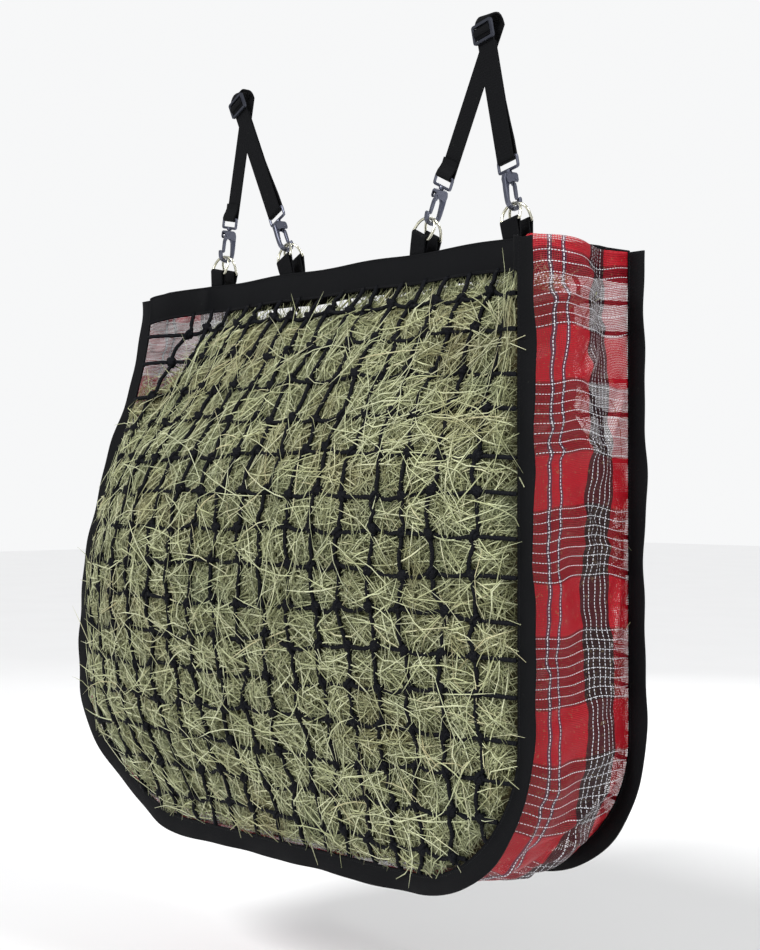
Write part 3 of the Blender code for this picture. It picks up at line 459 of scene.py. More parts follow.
SEAM, SEAM_N, SEAM_S = seam_line()
SEAM_LEN = float(SEAM_S[-1])


def seam_y(x, z, front):
    lo, hi = left_x(z), right_x(z)
    flat = z < SEAM_Z + 0.0005
    p = np.where(flat, (x - lo) / (hi - lo) * 2 - 1, np.where(x < 0.5 * (lo + hi), -1.0, 1.0))
    return front_side_y(p, z) if front else back_side_y(p, z)


# ------------------------------------------------------------------ mesh tools
def make_object(name, verts, faces, mat, uvs=None, smooth_shade=True):
    """faces: list of tuples or an (n, k) array."""
    me = bpy.data.meshes.new(name)
    if isinstance(faces, np.ndarray):
        k = faces.shape[1]
        n = len(faces)
        me.vertices.add(len(verts))
        me.vertices.foreach_set("co", np.asarray(verts, np.float32).ravel())
        me.loops.add(n * k)
        me.loops.foreach_set("vertex_index", faces.astype(np.int32).ravel())
        me.polygons.add(n)
        me.polygons.foreach_set("loop_start", np.arange(0, n * k, k, dtype=np.int32))
        me.update(calc_edges=True)
    else:
        me.from_pydata([tuple(map(float, v)) for v in verts], [], faces)
    if uvs is not None:
        layer = me.uv_layers.new(name="UVMap")
        idx = np.empty(len(me.loops), np.int32)
        me.loops.foreach_get("vertex_index", idx)
        layer.data.foreach_set("uv", np.asarray(uvs, np.float32)[idx].ravel())
    me.validate()
    if smooth_shade:
        me.shade_smooth()
    me.materials.append(mat)
    ob = bpy.data.objects.new(name, me)
    scene.collection.objects.link(ob)
    return ob


def close_normals(ob):
    bm = bmesh.new()
    bm.from_mesh(ob.data)
    bmesh.ops.recalc_face_normals(bm, faces=bm.faces[:])
    bm.to_mesh(ob.data)
    bm.free()


class Tubes:
    """Many round cords in one mesh."""

    def __init__(self, sides):
        self.sides, self.v, self.f, self.uv, self.n = sides, [], [], [], 0

    def add(self, pts, radius, ref=(0, 1, 0)):
        pts = np.asarray(pts, float)
        n, k = len(pts), self.sides
        t = np.gradient(pts, axis=0)
        t /= np.linalg.norm(t, axis=1)[:, None] + 1e-12
        ref = np.asarray(ref, float)
        a = np.cross(t, ref)
        bad = np.linalg.norm(a, axis=1) < 0.15
        a[bad] = np.cross(t[bad], (1.0, 0, 0))
        a /= np.linalg.norm(a, axis=1)[:, None]
        b = np.cross(a, t)
        r = np.broadcast_to(radius, (n,))
        ang = 2 * np.pi * np.arange(k) / k
        ring = (pts[:, None, :] + r[:, None, None] * (np.cos(ang)[None, :, None] * a[:, None, :]
                                                     + np.sin(ang)[None, :, None] * b[:, None, :]))
        s = np.concatenate([[0], np.cumsum(np.linalg.norm(np.diff(pts, axis=0), axis=1))])
        base = self.n
        self.v.append(ring.reshape(-1, 3))
        self.uv.append(np.stack([np.broadcast_to(np.arange(k) / k, (n, k)).ravel(), np.repeat(s, k)], 1))
        i = np.arange(n - 1)[:, None] * k
        j = np.arange(k)[None, :]
        jn = (j + 1) % k
        quads = np.stack([i + j, i + jn, i + k + jn, i + k + j], -1).reshape(-1, 4) + base
        self.f.append(quads[:, ::-1])
        # caps: a middle point at each end
        c0, c1 = base + n * k, base + n * k + 1
        self.v.append(np.stack([pts[0] - t[0] * r[0] * 0.5, pts[-1] + t[-1] * r[-1] * 0.5]))
        self.uv.append(np.array([[0.5, 0.0], [0.5, s[-1]]]))
        self.n += n * k + 2
        jj = np.arange(k)
        tri0 = np.stack([np.full(k, c0), base + jj, base + (jj + 1) % k, base + (jj + 1) % k], 1)
        e = base + (n - 1) * k
        tri1 = np.stack([np.full(k, c1), e + (jj + 1) % k, e + jj, e + jj], 1)
        self.caps = getattr(self, "caps", [])
        self.caps.append(tri0[:, :3][:, ::-1])
        self.caps.append(tri1[:, :3][:, ::-1])

    def build(self, name, mat):
        verts = np.concatenate(self.v)
        uvs = np.concatenate(self.uv)
        quads = np.concatenate(self.f)
        tris = np.concatenate(self.caps)
        # all triangles keeps the mesh one simple array
        t1 = quads[:, [0, 1, 2]]
        t2 = quads[:, [0, 2, 3]]
        faces = np.concatenate([t1, t2, tris])
        return make_object(name, verts, faces, mat, uvs)


def catmull(points, per=6):
    p = np.asarray(points, float)
    if len(p) < 3:
        t = np.linspace(0, 1, per + 1)[:, None]
        return p[0] * (1 - t) + p[-1] * t
    q = np.vstack([2 * p[0] - p[1], p, 2 * p[-1] - p[-2]])
    out = []
    for i in range(1, len(q) - 2):
        t = (np.arange(per) / per)[:, None]
        a, b, c, d = q[i - 1], q[i], q[i + 1], q[i + 2]
        out.append(0.5 * (2 * b + (c - a) * t + (2 * a - 5 * b + 4 * c - d) * t ** 2
                          + (3 * b - a - 3 * c + d) * t ** 3))
    out.append(p[-1][None])
    return np.concatenate(out)


def lathe_ball(k=9, rings=6):
    v = [(0, 0, -1.0)]
    for i in range(1, rings):
        a = math.pi * i / rings - math.pi / 2
        for j in range(k):
            b = 2 * math.pi * j / k
            v.append((math.cos(a) * math.cos(b), math.cos(a) * math.sin(b), math.sin(a)))
    v.append((0, 0, 1.0))
    f = []
    for j in range(k):
        f.append((0, 1 + (j + 1) % k, 1 + j))
        e = 1 + (rings - 2) * k
        f.append((len(v) - 1, e + j, e + (j + 1) % k))
    for i in range(rings - 2):
        for j in range(k):
            a, b = 1 + i * k + j, 1 + i * k + (j + 1) % k
            f.append((a, b, b + k))
            f.append((a, b + k, a + k))
    return np.array(v), np.array(f)


# ------------------------------------------------------------------ knotted nets
CELL_X, CELL_Z = 0.0397, 0.0437
ROW0 = 0.024        # first row of knots under the band


def net_x(xm, z):
    lo = -(HALF_W + 0.045 * flare(z))
    return lo + (xm + HALF_W) / (2 * HALF_W) * (HALF_W - lo)


def inside(x, z, margin=0.004):
    return (z > SEAM_Z + margin) & (x > left_x(z) + margin) & (x < right_x(z) - margin)


def build_net(front):
    rng = np.random.default_rng(11 if front else 23)
    sign = -1.0 if front else 1.0
    cols = [(i - 8) * CELL_X for i in range(17)]
    rows = [MOUTH_Z - BAND_H - ROW0 - j * CELL_Z for j in range(15)]
    node = {}
    for j, zr in enumerate(rows):
        wave = 0.004 * math.sin(j * 1.7) + 0.0
        for i, xm in enumerate(cols):
            drop = -float(smooth((abs(xm) - 0.28) / 0.09)) * 0.012 * (1 - j / 15)
            z = zr + drop + rng.normal(0, 0.0028) + wave * math.sin(i * 0.5 + j)
            x = float(net_x(xm + rng.normal(0, 0.0030), z))
            node[i, j] = (x, z)
    tubes = Tubes(7)
    knots = []

    def place(x, z, out):
        return np.stack([x, surface_y(x, z, front) + sign * out, z], -1)

    def within(x, z):
        return bool(inside(np.float64(x), np.float64(z), 0.0006)) and z < float(mouth_top(np.float64(x))) - BAND_H + 0.007

    def cord(xz, outs, radius=0.00265):
        xz = np.asarray(xz)
        ok = np.array([within(a, b) for a, b in xz])
        if ok.sum() < 2:
            return
        first, last = np.argmax(ok), len(ok) - 1 - np.argmax(ok[::-1])
        pieces, heights = [xz[first:last + 1]], [outs[first:last + 1]]
        for here, there, front_end in ((first, first - 1, True), (last, last + 1, False)):
            if 0 <= there < len(xz):      # run on to the seam
                a, b = xz[here].copy(), xz[there].copy()
                for _ in range(9):
                    c = (a + b) / 2
                    if within(*c):
                        a = c
                    else:
                        b = c
                pieces.insert(0 if front_end else len(pieces), a[None])
                heights.insert(0 if front_end else len(heights), np.array([0.0004]))
        line, high = np.concatenate(pieces), np.concatenate(heights)
        pts = place(line[:, 0], line[:, 1], high)
        r = radius * (1 + 0.06 * np.sin(np.arange(len(pts)) * 1.9 + rng.uniform(0, 6)))
        tubes.add(pts, r)

    # the cords across, each one running through its row of knots
    for j in range(len(rows)):
        line = [(float(left_x(node[0, j][1])) - 0.006, node[0, j][1] - 0.003)]
        for i in range(17):
            x, z = node[i, j]
            line.append((x, z))
            if i < 16:
                x2, z2 = node[i + 1, j]
                line.append(((x + x2) / 2 + rng.normal(0, 0.0015),
                             (z + z2) / 2 - abs(rng.normal(0.0032, 0.0018))))
        line.append((float(right_x(node[16, j][1])) + 0.006, node[16, j][1] - 0.003))
        xz = catmull(line, 4)
        outs = 0.0012 + 0.0016 * np.sin(np.arange(len(xz)) * 0.39) + rng.normal(0, 0.0004, len(xz))
        cord(xz, outs)
    # the cords down: each piece leaves the knot a little to one side of where the last came in
    for i in range(17):
        for j in range(-1, len(rows)):
            side = 0.0022 * (1 if (i + j) % 2 else -1)
            if j < 0:
                x2, z2 = node[i, 0]
                a = (x2 + rng.normal(0, 0.004), float(mouth_top(np.float64(x2))) - BAND_H + 0.004)
            else:
                x, z = node[i, j]
                a = (x + side, z)
            if j + 1 < len(rows):
                x2, z2 = node[i, j + 1]
                b = (x2 + side, z2)
            else:
                b = (a[0] + rng.normal(0, 0.004), SEAM_Z - 0.006)
            mid = ((a[0] + b[0]) / 2 + rng.normal(0, 0.0022), (a[1] + b[1]) / 2)
            xz = catmull([a, (a[0] * 0.75 + b[0] * 0.25 + rng.normal(0, 0.001), a[1] * 0.75 + b[1] * 0.25), mid,
                          (a[0] * 0.25 + b[0] * 0.75 + rng.normal(0, 0.001), a[1] * 0.25 + b[1] * 0.75), b], 3)
            t = np.linspace(0, 1, len(xz))
            cord(xz, 0.0016 + 0.0018 * np.sin(np.pi * t))
    net = tubes.build("net_cords_" + ("front" if front else "back"), MAT_CORD)
    # knots: each is a lump with one cord wrapped round it twice
    ball_v, ball_f = lathe_ball()
    kv, kf, kuv, n = [], [], [], 0
    wraps = Tubes(6)
    for (i, j), (x, z) in node.items():
        if not inside(np.float64(x), np.float64(z), 0.006):
            continue
        centre = place(np.float64(x), np.float64(z), 0.0022)
        tilt = rng.uniform(-0.9, 0.9)
        size = np.array([0.0062, 0.0048, 0.0070]) * rng.uniform(0.86, 1.14)
        lump = ball_v * size * (1 + 0.10 * rng.normal(size=(len(ball_v), 1)))
        c, s = math.cos(tilt), math.sin(tilt)
        rot = np.array([[c, 0, s], [0, 1, 0], [-s, 0, c]])
        kv.append(lump @ rot.T + centre)
        kuv.append(np.stack([ball_v[:, 0], ball_v[:, 2] * 0.006], 1))
        kf.append(ball_f + n)
        n += len(ball_v)
        # the wrap: a short coil seen on the face of the knot
        a = np.linspace(-0.3, 2 * math.pi * 1.35, 15)
        lean = rng.uniform(0.5, 1.1) * (1 if (i + j) % 2 else -1)
        ring = np.stack([np.cos(a) * 0.0064, np.sin(a) * 0.0040, (a - 4) * 0.0008], 1)
        c, s = math.cos(lean), math.sin(lean)
        rot2 = np.array([[c, 0, s], [0, 1, 0], [-s, 0, c]])
        wraps.add(ring @ rot2.T + centre, 0.00250, ref=(0.3, 0.9, 0.2))
    balls = make_object("net_knots_" + ("front" if front else "back"), np.concatenate(kv), np.concatenate(kf),
                        MAT_CORD, np.concatenate(kuv))
    coils = wraps.build("net_wraps_" + ("front" if front else "back"), MAT_CORD)
    for ob in (balls, net, coils):
        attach(ob, "bag")
    node_name = "front_net" if front else "back_net"
    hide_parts(node_name)
    return net


build_net(True)
build_net(False)


# ------------------------------------------------------------------ hay
def hay_out(x, z):
    """How far the hay stands out of the net's surface, mm: pushed through each opening."""
    lo = -(HALF_W + 0.045 * flare(z))
    xm = (x - lo) / (HALF_W - lo) * 2 * HALF_W - HALF_W
    a, b = xm / CELL_X, (MOUTH_Z - BAND_H - ROW0 - z) / CELL_Z
    i, j = np.floor(a), np.floor(b)
    own = np.sin(i * 12.9898 + j * 78.233) * 43758.5453
    own = own - np.floor(own)
    u, v = a - i, b - j
    return ((4.5 + 9.5 * own) * np.abs(np.sin(np.pi * u) * np.sin(np.pi * v)) ** 0.8 - 4.4) * MM


def hay_dip(x, z):
    """The hay slopes down to its top left corner, and lies lower left of the middle."""
    return (0.105 * smooth((-0.235 - x) / 0.12) * smooth((z + 0.52) / 0.20)
            + 0.020 * np.exp(-((x + 0.09) / 0.14) ** 2) * smooth((z + 0.45) / 0.10))


def hay_hollow(x, z):
    """No hay behind the top right corner."""
    gap = surface_y(x, z, False) - surface_y(x, z, True) - 0.018
    return np.minimum(0.055, 0.45 * np.maximum(gap, 0.0)) * smooth((x - 0.215) / 0.09) * smooth((z + 0.53) / 0.08)


def hay_level(x):
    return HAY_TOP - hay_dip(x, np.full_like(x, HAY_TOP))


def hay_core():
    nx, nz = 150, 130
    zs = np.linspace(HAY_TOP + 0.004, SEAM_Z + 0.010, nz)
    grids = []
    for front in (True, False):
        g = np.zeros((nz, nx, 3))
        for k, z in enumerate(zs):
            lo, hi = float(left_x(z)) + 0.010, float(right_x(z)) - 0.010
            x = lo + (hi - lo) * (0.5 - 0.5 * np.cos(np.pi * np.linspace(0, 1, nx))) ** 1.0
            zz = np.full_like(x, z)
            zz = zz - hay_dip(x, zz)
            lump = (2.0 * np.sin(x * 61 + z * 37) + 1.6 * np.sin(x * 113 - z * 91) + 1.3 * np.sin(z * 143 + x * 29)) * MM
            out = hay_out(x, zz) - 0.0095 + lump * 0.6
            s = -1.0 if front else 1.0
            y = surface_y(x, zz, front) + s * out
            edge = np.minimum(1.0, np.minimum(x - lo, hi - x) / 0.022)
            y = y - s * 0.010 * (1 - edge) ** 2
            if not front:
                y = y - hay_hollow(x, zz)
            if k == 0:
                zz = zz + 0.006 * np.sin(x * 31) + 0.004 * np.sin(x * 77 + 1)
            g[k] = np.stack([x, y, zz], -1)
        grids.append(g)
    f, b = grids
    b = b[:, ::-1]
    ring = np.concatenate([f, b], axis=1)
    verts = ring.reshape(-1, 3)
    m = 2 * nx
    i = np.arange(nz - 1)[:, None] * m
    j = np.arange(m)[None, :]
    jn = (j + 1) % m
    quads = np.stack([i + j, i + jn, i + m + jn, i + m + j], -1).reshape(-1, 4)
    tris = np.concatenate([quads[:, [0, 1, 2]], quads[:, [0, 2, 3]]])
    caps = []
    for k in (0, nz - 1):
        base = k * m
        for a in range(nx - 1):
            c1, c2 = base + a, base + a + 1
            d1, d2 = base + m - 1 - a, base + m - 2 - a
            if k == 0:
                caps += [(c1, d1, d2), (c1, d2, c2)]
            else:
                caps += [(c1, c2, d2), (c1, d2, d1)]
    faces = np.concatenate([tris, np.array(caps)])
    # the core's near-black colour is painted shade for the gaps between the stems
    ob = make_object("hay_core", verts, faces, MAT_HAY_PAINTED_SHADE)
    close_normals(ob)
    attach(ob, "bag")
    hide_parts("hay_fill")
    return ob


hay_core()


def strands(name, base, direction, length, width, offset_fn, mat, points=4, bend=None):
    """Thin three-sided stems. base (n,2) in x,z; direction (n,) angle in the panel; offset_fn
    gives y for each point."""
    n = len(base)
    s = np.linspace(-0.5, 0.5, points)
    c, sn = np.cos(direction), np.sin(direction)
    bend = RNG.normal(0, 0.10, n) if bend is None else bend
    along = s[None, :] * length[:, None]
    side = bend[:, None] * (s[None, :] ** 2 * 4 - 0.33) * length[:, None]
    x = base[:, 0:1] + along * c[:, None] - side * sn[:, None]
    z = base[:, 1:2] + along * sn[:, None] + side * c[:, None]
    y = offset_fn(x, z, s)
    p = np.stack([x, y, z], -1)
    t = np.gradient(p, axis=1)
    t /= np.linalg.norm(t, axis=2)[..., None] + 1e-12
    roll = RNG.uniform(0, 2 * np.pi, n)
    ref = np.stack([0.3 * np.cos(roll), np.ones(n), 0.3 * np.sin(roll)], -1)[:, None, :]
    a = np.cross(t, ref)
    a /= np.linalg.norm(a, axis=2)[..., None] + 1e-12
    b = np.cross(a, t)
    taper = np.interp(s, [-0.5, -0.42, 0.3, 0.5], [0.55, 1.0, 0.9, 0.25])[None, :, None]
    w = (width[:, None, None] * taper) / 2
    v0 = p + a * w
    v1 = p - a * w
    v2 = p + b * w * 0.55
    verts = np.stack([v0, v1, v2], 2).reshape(-1, 3)
    per = points * 3
    k = np.arange(points - 1)[:, None] * 3
    j = np.arange(3)[None, :]
    jn = (j + 1) % 3
    q = np.stack([k + j, k + jn, k + 3 + jn, k + 3 + j], -1).reshape(-1, 4)
    tri = np.concatenate([q[:, [0, 1, 2]], q[:, [0, 2, 3]],
                          np.array([[0, 2, 1], [per - 3, per - 2, per - 1]])])
    faces = (tri[None] + (np.arange(n) * per)[:, None, None]).reshape(-1, 3)
    ob = make_object(name, verts, faces, mat)
    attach(ob, "bag")
    return ob


def panel_samples(n, margin=0.004, over=0.010):
    out = []
    total = 0
    while total < n:
        x = RNG.uniform(-0.41, 0.36, 4 * n)
        z = RNG.uniform(SEAM_Z, HAY_TOP + over, 4 * n)
        ok = inside(x, z, margin) & (z < hay_level(x) + over)
        out.append(np.stack([x[ok], z[ok]], 1))
        total += ok.sum()
    return np.concatenate(out)[:n]


def clamp_panel(x, z, margin=0.003):
    z = np.maximum(z, SEAM_Z + margin)
    return np.clip(x, left_x(z) + margin, right_x(z) - margin), z


def hay_panel(front, n, seed_name, proud=0.0, mat=None, lengths=(0.028, 0.090), widths=(0.0007, 0.0019)):
    base = panel_samples(n)
    # stems lie every way, with some lying together
    swirl = 3.0 * np.sin(base[:, 0] * 9 + 1.1) + 2.4 * np.sin(base[:, 1] * 12 + 0.5)
    ang = swirl + RNG.normal(0, 1.0, n)
    ln = RNG.uniform(lengths[0], lengths[1], n) * RNG.choice([1.0, 1.0, 1.45], n)
    wd = RNG.uniform(widths[0], widths[1], n)
    # keep every stem's ends inside the seams
    for k in (-0.5, 0.5):
        ex, ez = base[:, 0] + k * ln * np.cos(ang), base[:, 1] + k * ln * np.sin(ang)
        cx, cz = clamp_panel(ex, ez)
        base[:, 0] += (cx - ex)
        base[:, 1] += (cz - ez)
    depth = (RNG.uniform(-5.5, 2.4, n) - 1.2 * RNG.random(n) ** 3) * MM + proud
    tilt = RNG.normal(0, 2.4, n) * MM
    sgn = -1.0 if front else 1.0

    def off(x, z, s):
        o = hay_out(x, z) + depth[:, None] + tilt[:, None] * 2 * s[None, :]
        o = np.where(z > hay_level(x) + 0.008, np.minimum(o, -0.003), o)
        xx, zz = clamp_panel(x, z, 0.002)
        y = surface_y(xx, zz, front) + sgn * o
        return y if front else y - hay_hollow(xx, zz)

    return strands(seed_name, base, ang, ln, wd, off, mat or MAT_HAY)


hay_panel(True, 17500, "hay_front")
hay_panel(False, 7500, "hay_back")
hay_panel(True, 2600, "straw_front", proud=0.0042, mat=MAT_STRAW, lengths=(0.040, 0.095), widths=(0.0010, 0.0019))
hay_panel(False, 500, "straw_back", proud=0.0020, mat=MAT_STRAW, lengths=(0.035, 0.080), widths=(0.0010, 0.0019))


def loose_stems(front, n, name):
    """Long straws that hang half out of the net."""
    base = panel_samples(n, 0.012, 0.0)
    ang = RNG.normal(0.9, 1.0, n) + np.where(RNG.random(n) < 0.35, np.pi / 2, 0)
    ln = RNG.uniform(0.05, 0.135, n)
    if front:
        # a tuft pulled out at the upper right
        k = 70
        base[:k] = np.stack([RNG.normal(0.22, 0.055, k), RNG.normal(-0.455, 0.035, k)], 1)
        ang[:k] = RNG.normal(0.35, 0.5, k)
        ln[:k] = RNG.uniform(0.07, 0.15, k)
    wd = RNG.uniform(0.0009, 0.0017, n)
    lift = np.abs(RNG.normal(7.0, 4.5, n)) * MM
    for k in (-0.5, 0.5):
        ex, ez = base[:, 0] + k * ln * np.cos(ang), base[:, 1] + k * ln * np.sin(ang)
        cx, cz = clamp_panel(ex, ez, -0.016)
        cz = np.minimum(cz, MOUTH_Z - 0.012)
        base[:, 0] += (cx - ex)
        base[:, 1] += (cz - ez)
    sgn = -1.0 if front else 1.0

    def off(x, z, s):
        xx, zz = clamp_panel(x, z, 0.0)
        o = 0.003 + lift[:, None] * (s[None, :] + 0.5) ** 1.3 * 1.5 - 0.004 * (0.5 - s[None, :])
        # those that reach past the net's edge stand clear of the binding
        beyond = np.maximum(np.abs(x - xx), np.abs(z - zz))
        o = o + np.minimum(beyond, 0.006) * 0.8
        return np.clip(surface_y(xx, zz, front) + sgn * o, -0.2030, 0.1465)

    return strands(name, base, ang, ln, wd, off, MAT_STRAW, points=6, bend=RNG.normal(0, 0.16, n))


loose_stems(True, 560, "straw_loose_front")
loose_stems(False, 90, "straw_loose_back")


def top_stems(n, name, mat):
    """Hay lying over the top of the fill, some of it reaching up to the bands."""
    x = RNG.uniform(-0.335, 0.335, n)
    z = hay_level(x) + 0.003 + RNG.uniform(-0.006, 0.010, n)
    up = RNG.random(n) < 0.12
    yf = surface_y(x, z, True) + 0.008
    yb = surface_y(x, z, False) - 0.008
    y0 = yf + (yb - yf) * RNG.uniform(0, 1, n)
    ang = np.where(up, RNG.normal(1.3, 0.5, n), RNG.normal(0, 0.35, n))
    ln = np.where(up, RNG.uniform(0.025, 0.055, n), RNG.uniform(0.03, 0.08, n))
    z = np.where(up, z + 0.014, z)
    slope = RNG.normal(0, 1.0, n) * 0.4
    base = np.stack([np.clip(x, -0.335 + ln / 2, 0.335 - ln / 2), z], 1)

    def off(xx, zz, s):
        y = y0[:, None] + slope[:, None] * s[None, :] * ln[:, None]
        lo = surface_y(xx, np.minimum(zz, -0.262), True) + 0.004
        hi = surface_y(xx, np.minimum(zz, -0.262), False) - 0.004
        return np.clip(y, lo, hi)

    return strands(name, base, ang, ln, RNG.uniform(0.0009, 0.0019, n), off, mat, points=4)


top_stems(2600, "hay_top", MAT_HAY)
top_stems(240, "straw_top", MAT_STRAW)


# ------------------------------------------------------------------ gusset
def build_gusset():
    n, cols = len(SEAM), 57
    x, z = SEAM[:, 0], SEAM[:, 1]
    nx, nz = SEAM_N[:, 0], SEAM_N[:, 1]
    yf = seam_y(x, z, True) + FIN_T / 2 - 0.0007
    yb = seam_y(x, z, False) - FIN_T / 2 + 0.0007
    w = np.linspace(0, 1, cols)
    s = SEAM_S
    from_right = SEAM_LEN - s
    from_left = s
    W = np.broadcast_to(w, (n, cols))
    S = s[:, None]
    FR, FL = from_right[:, None], from_left[:, None]
    edge = np.sin(np.pi * W) ** 0.6
    pucker = np.sin(S * 260 + 2.2 * np.sin(S * 41)) * (np.exp(-(W / 0.09) ** 2) + np.exp(-((1 - W) / 0.09) ** 2))
    out = 0.010 * np.sin(np.pi * W)
    # near the mouth the cloth is slack: it stands out near the front and folds in near the back
    slack = np.exp(-(FR / 0.20) ** 2) + 0.8 * np.exp(-(FL / 0.22) ** 2)
    out = out + slack * (0.0165 * np.exp(-((W - 0.36) / 0.20) ** 2) - 0.013 * np.exp(-((W - 0.78) / 0.13) ** 2)) * edge
    # it sags out round the bottom corners
    corner = np.exp(-((FR - 0.70) / 0.15) ** 2) + np.exp(-((FL - 0.70) / 0.15) ** 2)
    out = out + 0.012 * np.sin(np.pi * W) * corner
    # single creases, each a short ridge with a fold beside it
    rng = np.random.default_rng(31)
    for _ in range(44):
        s0, w0 = rng.uniform(0.02, SEAM_LEN - 0.02), rng.uniform(0.06, 0.94)
        turn, reach, amp = rng.normal(0.0, 0.75), rng.uniform(0.022, 0.070), rng.uniform(0.0030, 0.0068)
        du, dv = (W - w0) * 0.196, S - s0
        a = du * math.cos(turn) + dv * math.sin(turn)
        b = -du * math.sin(turn) + dv * math.cos(turn)
        out = out + edge * amp * np.exp(-(a / reach) ** 2) * (np.exp(-(b / 0.0065) ** 2)
                                                             - 0.7 * np.exp(-((b - 0.011) / 0.009) ** 2))
    # long soft folds down the length, wandering from side to side
    wander = 0.10 * np.sin(S * 7.0) + 0.05 * np.sin(S * 17.0 + 1)
    out = out + 0.0012 * (1 - edge) + 0.0052 * np.sin(2 * np.pi * (W * 1.6 + wander)) * edge * (0.6 + 0.4 * np.sin(S * 5.3))
    # creases across, tighter round the bottom corners
    bend = np.exp(-((FR - 0.66) / 0.10) ** 2) + np.exp(-((FL - 0.66) / 0.10) ** 2)
    out = out + edge * (0.0016 * np.sin(S * 118 + 3 * np.sin(W * 5)) * (0.35 + 1.2 * bend)
                        + 0.0012 * np.sin(S * 61 + W * 9 + 0.7) + 0.0008 * np.sin(S * 203 - W * 14))
    out = out + 0.0011 * pucker * np.minimum(1.0, np.minimum(W, 1 - W) / 0.02)
    # hay pushed out against it
    out = out + 0.0022 * edge * np.sin(S * 33 + W * 4.1) * np.sin(W * 11 + S * 9)
    Y = yf[:, None] + (yb - yf)[:, None] * W + edge * 0.0025 * np.sin(S * 24 + W * 3)
    X = x[:, None] + nx[:, None] * out
    Z = z[:, None] + nz[:, None] * out
    Z = Z + 0.006 * np.exp(-(FR / 0.030) ** 2) * smooth(W / 0.10) * (1 - smooth((W - 0.22) / 0.34))
    Z = Z - 0.0060 * (np.exp(-(FR / 0.014) ** 2) + np.exp(-(FL / 0.014) ** 2)) * (1 - smooth(W / 0.07))
    verts = np.stack([X, Y, Z], -1).reshape(-1, 3)
    shift = np.sin(np.pi * W) * (0.020 * np.sin(S * 12.5 + 0.6) + 0.011 * np.sin(S * 27 + 2.0) + 0.004 * np.sin(S * 61 + W * 4))
    length = SEAM_LEN - S + 0.0035 * np.sin(W * 7 + S * 6) + 0.0012 * np.sin(W * 17 + S * 31)
    uvs = np.stack([W + shift, length], -1).reshape(-1, 2)
    i = np.arange(n - 1)[:, None] * cols
    j = np.arange(cols - 1)[None, :]
    quads = np.stack([i + j, i + j + 1, i + cols + j + 1, i + cols + j], -1).reshape(-1, 4)
    ob = make_object("plaid_gusset", verts, quads, MAT_PLAID, uvs)
    sol = ob.modifiers.new("thickness", "SOLIDIFY")
    sol.thickness = 0.00035
    sol.offset = 0.0
    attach(ob, "bag")
    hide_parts("side_gusset")
    return ob


build_gusset()


# ------------------------------------------------------------------ webbing: bindings and bands
def swept_profile(name, frames, profile, mat, closed_ends=True):
    """frames: list of functions of the profile point -> world point; profile is a closed loop."""
    n, k = len(frames), len(profile)
    verts = np.concatenate(frames)
    i = np.arange(n - 1)[:, None] * k
    j = np.arange(k)[None, :]
    jn = (j + 1) % k
    quads = np.stack([i + j, i + jn, i + k + jn, i + k + j], -1).reshape(-1, 4)
    faces = [tuple(int(c) for c in q) for q in quads]
    faces.append(tuple(range(k))[::-1])
    faces.append(tuple(range((n - 1) * k, n * k)))
    return verts, faces


def strap_profile(width, thick, stitch=(0.0032,), n=14):
    """Loop of (across, through): rounded edges and a shallow groove at each line of stitching."""
    h = thick / 2
    us = [0.0009, *sum(([s - 0.0008, s, s + 0.0008] for s in stitch), []), width - 0.0009]
    us = sorted(set(us))
    top = []
    for u in us:
        g = 0.00035 if any(abs(u - s) < 1e-9 for s in stitch) else 0.0
        top.append((u, h - g))
    loop = [(0.0, 0.0)] + [(0.0003, h * 0.7)] + top + [(width - 0.0003, h * 0.7), (width, 0.0), (width - 0.0003, -h * 0.7)]
    loop += [(u, -v) for u, v in top[::-1]] + [(0.0003, -h * 0.7)]
    return np.array(loop)


def stitches(name, line, normal, body, pitch=0.0036, length=0.0026, r=0.00038):
    """Short thread stitches along a line of points, standing on its surface."""
    d = np.concatenate([[0], np.cumsum(np.linalg.norm(np.diff(line, axis=0), axis=1))])
    m = int(d[-1] / pitch)
    c = (np.arange(m) + 0.5) * pitch
    V, F, k = [], [], 0
    base = np.array([(-1, 0, 0), (-0.55, 1, 0), (-0.55, 0, 1), (-0.55, -1, 0), (0.55, 1, 0), (0.55, 0, 1),
                     (0.55, -1, 0), (1, 0, 0)], float)
    tri = np.array([(0, 1, 2), (0, 2, 3), (0, 3, 1), (1, 4, 5), (1, 5, 2), (2, 5, 6), (2, 6, 3), (3, 6, 4),
                    (3, 4, 1), (7, 5, 4), (7, 6, 5), (7, 4, 6)])
    at = np.stack([np.interp(c, d, line[:, i]) for i in range(3)], 1)
    fw = np.stack([np.interp(c + 0.0005, d, line[:, i]) for i in range(3)], 1) - at
    fw /= np.linalg.norm(fw, axis=1)[:, None] + 1e-12
    nn = np.stack([np.interp(c, d, normal[:, i]) for i in range(3)], 1)
    nn /= np.linalg.norm(nn, axis=1)[:, None]
    sd = np.cross(nn, fw)
    for q in range(m):
        V.append(at[q] + base[:, 0:1] * fw[q] * length / 2 + base[:, 1:2] * sd[q] * r + base[:, 2:3] * nn[q] * r * 1.2)
        F.append(tri + k)
        k += 8
    ob = make_object(name, np.concatenate(V), np.concatenate(F), MAT_THREAD, smooth_shade=False)
    close_normals(ob)
    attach(ob, body)
    return ob


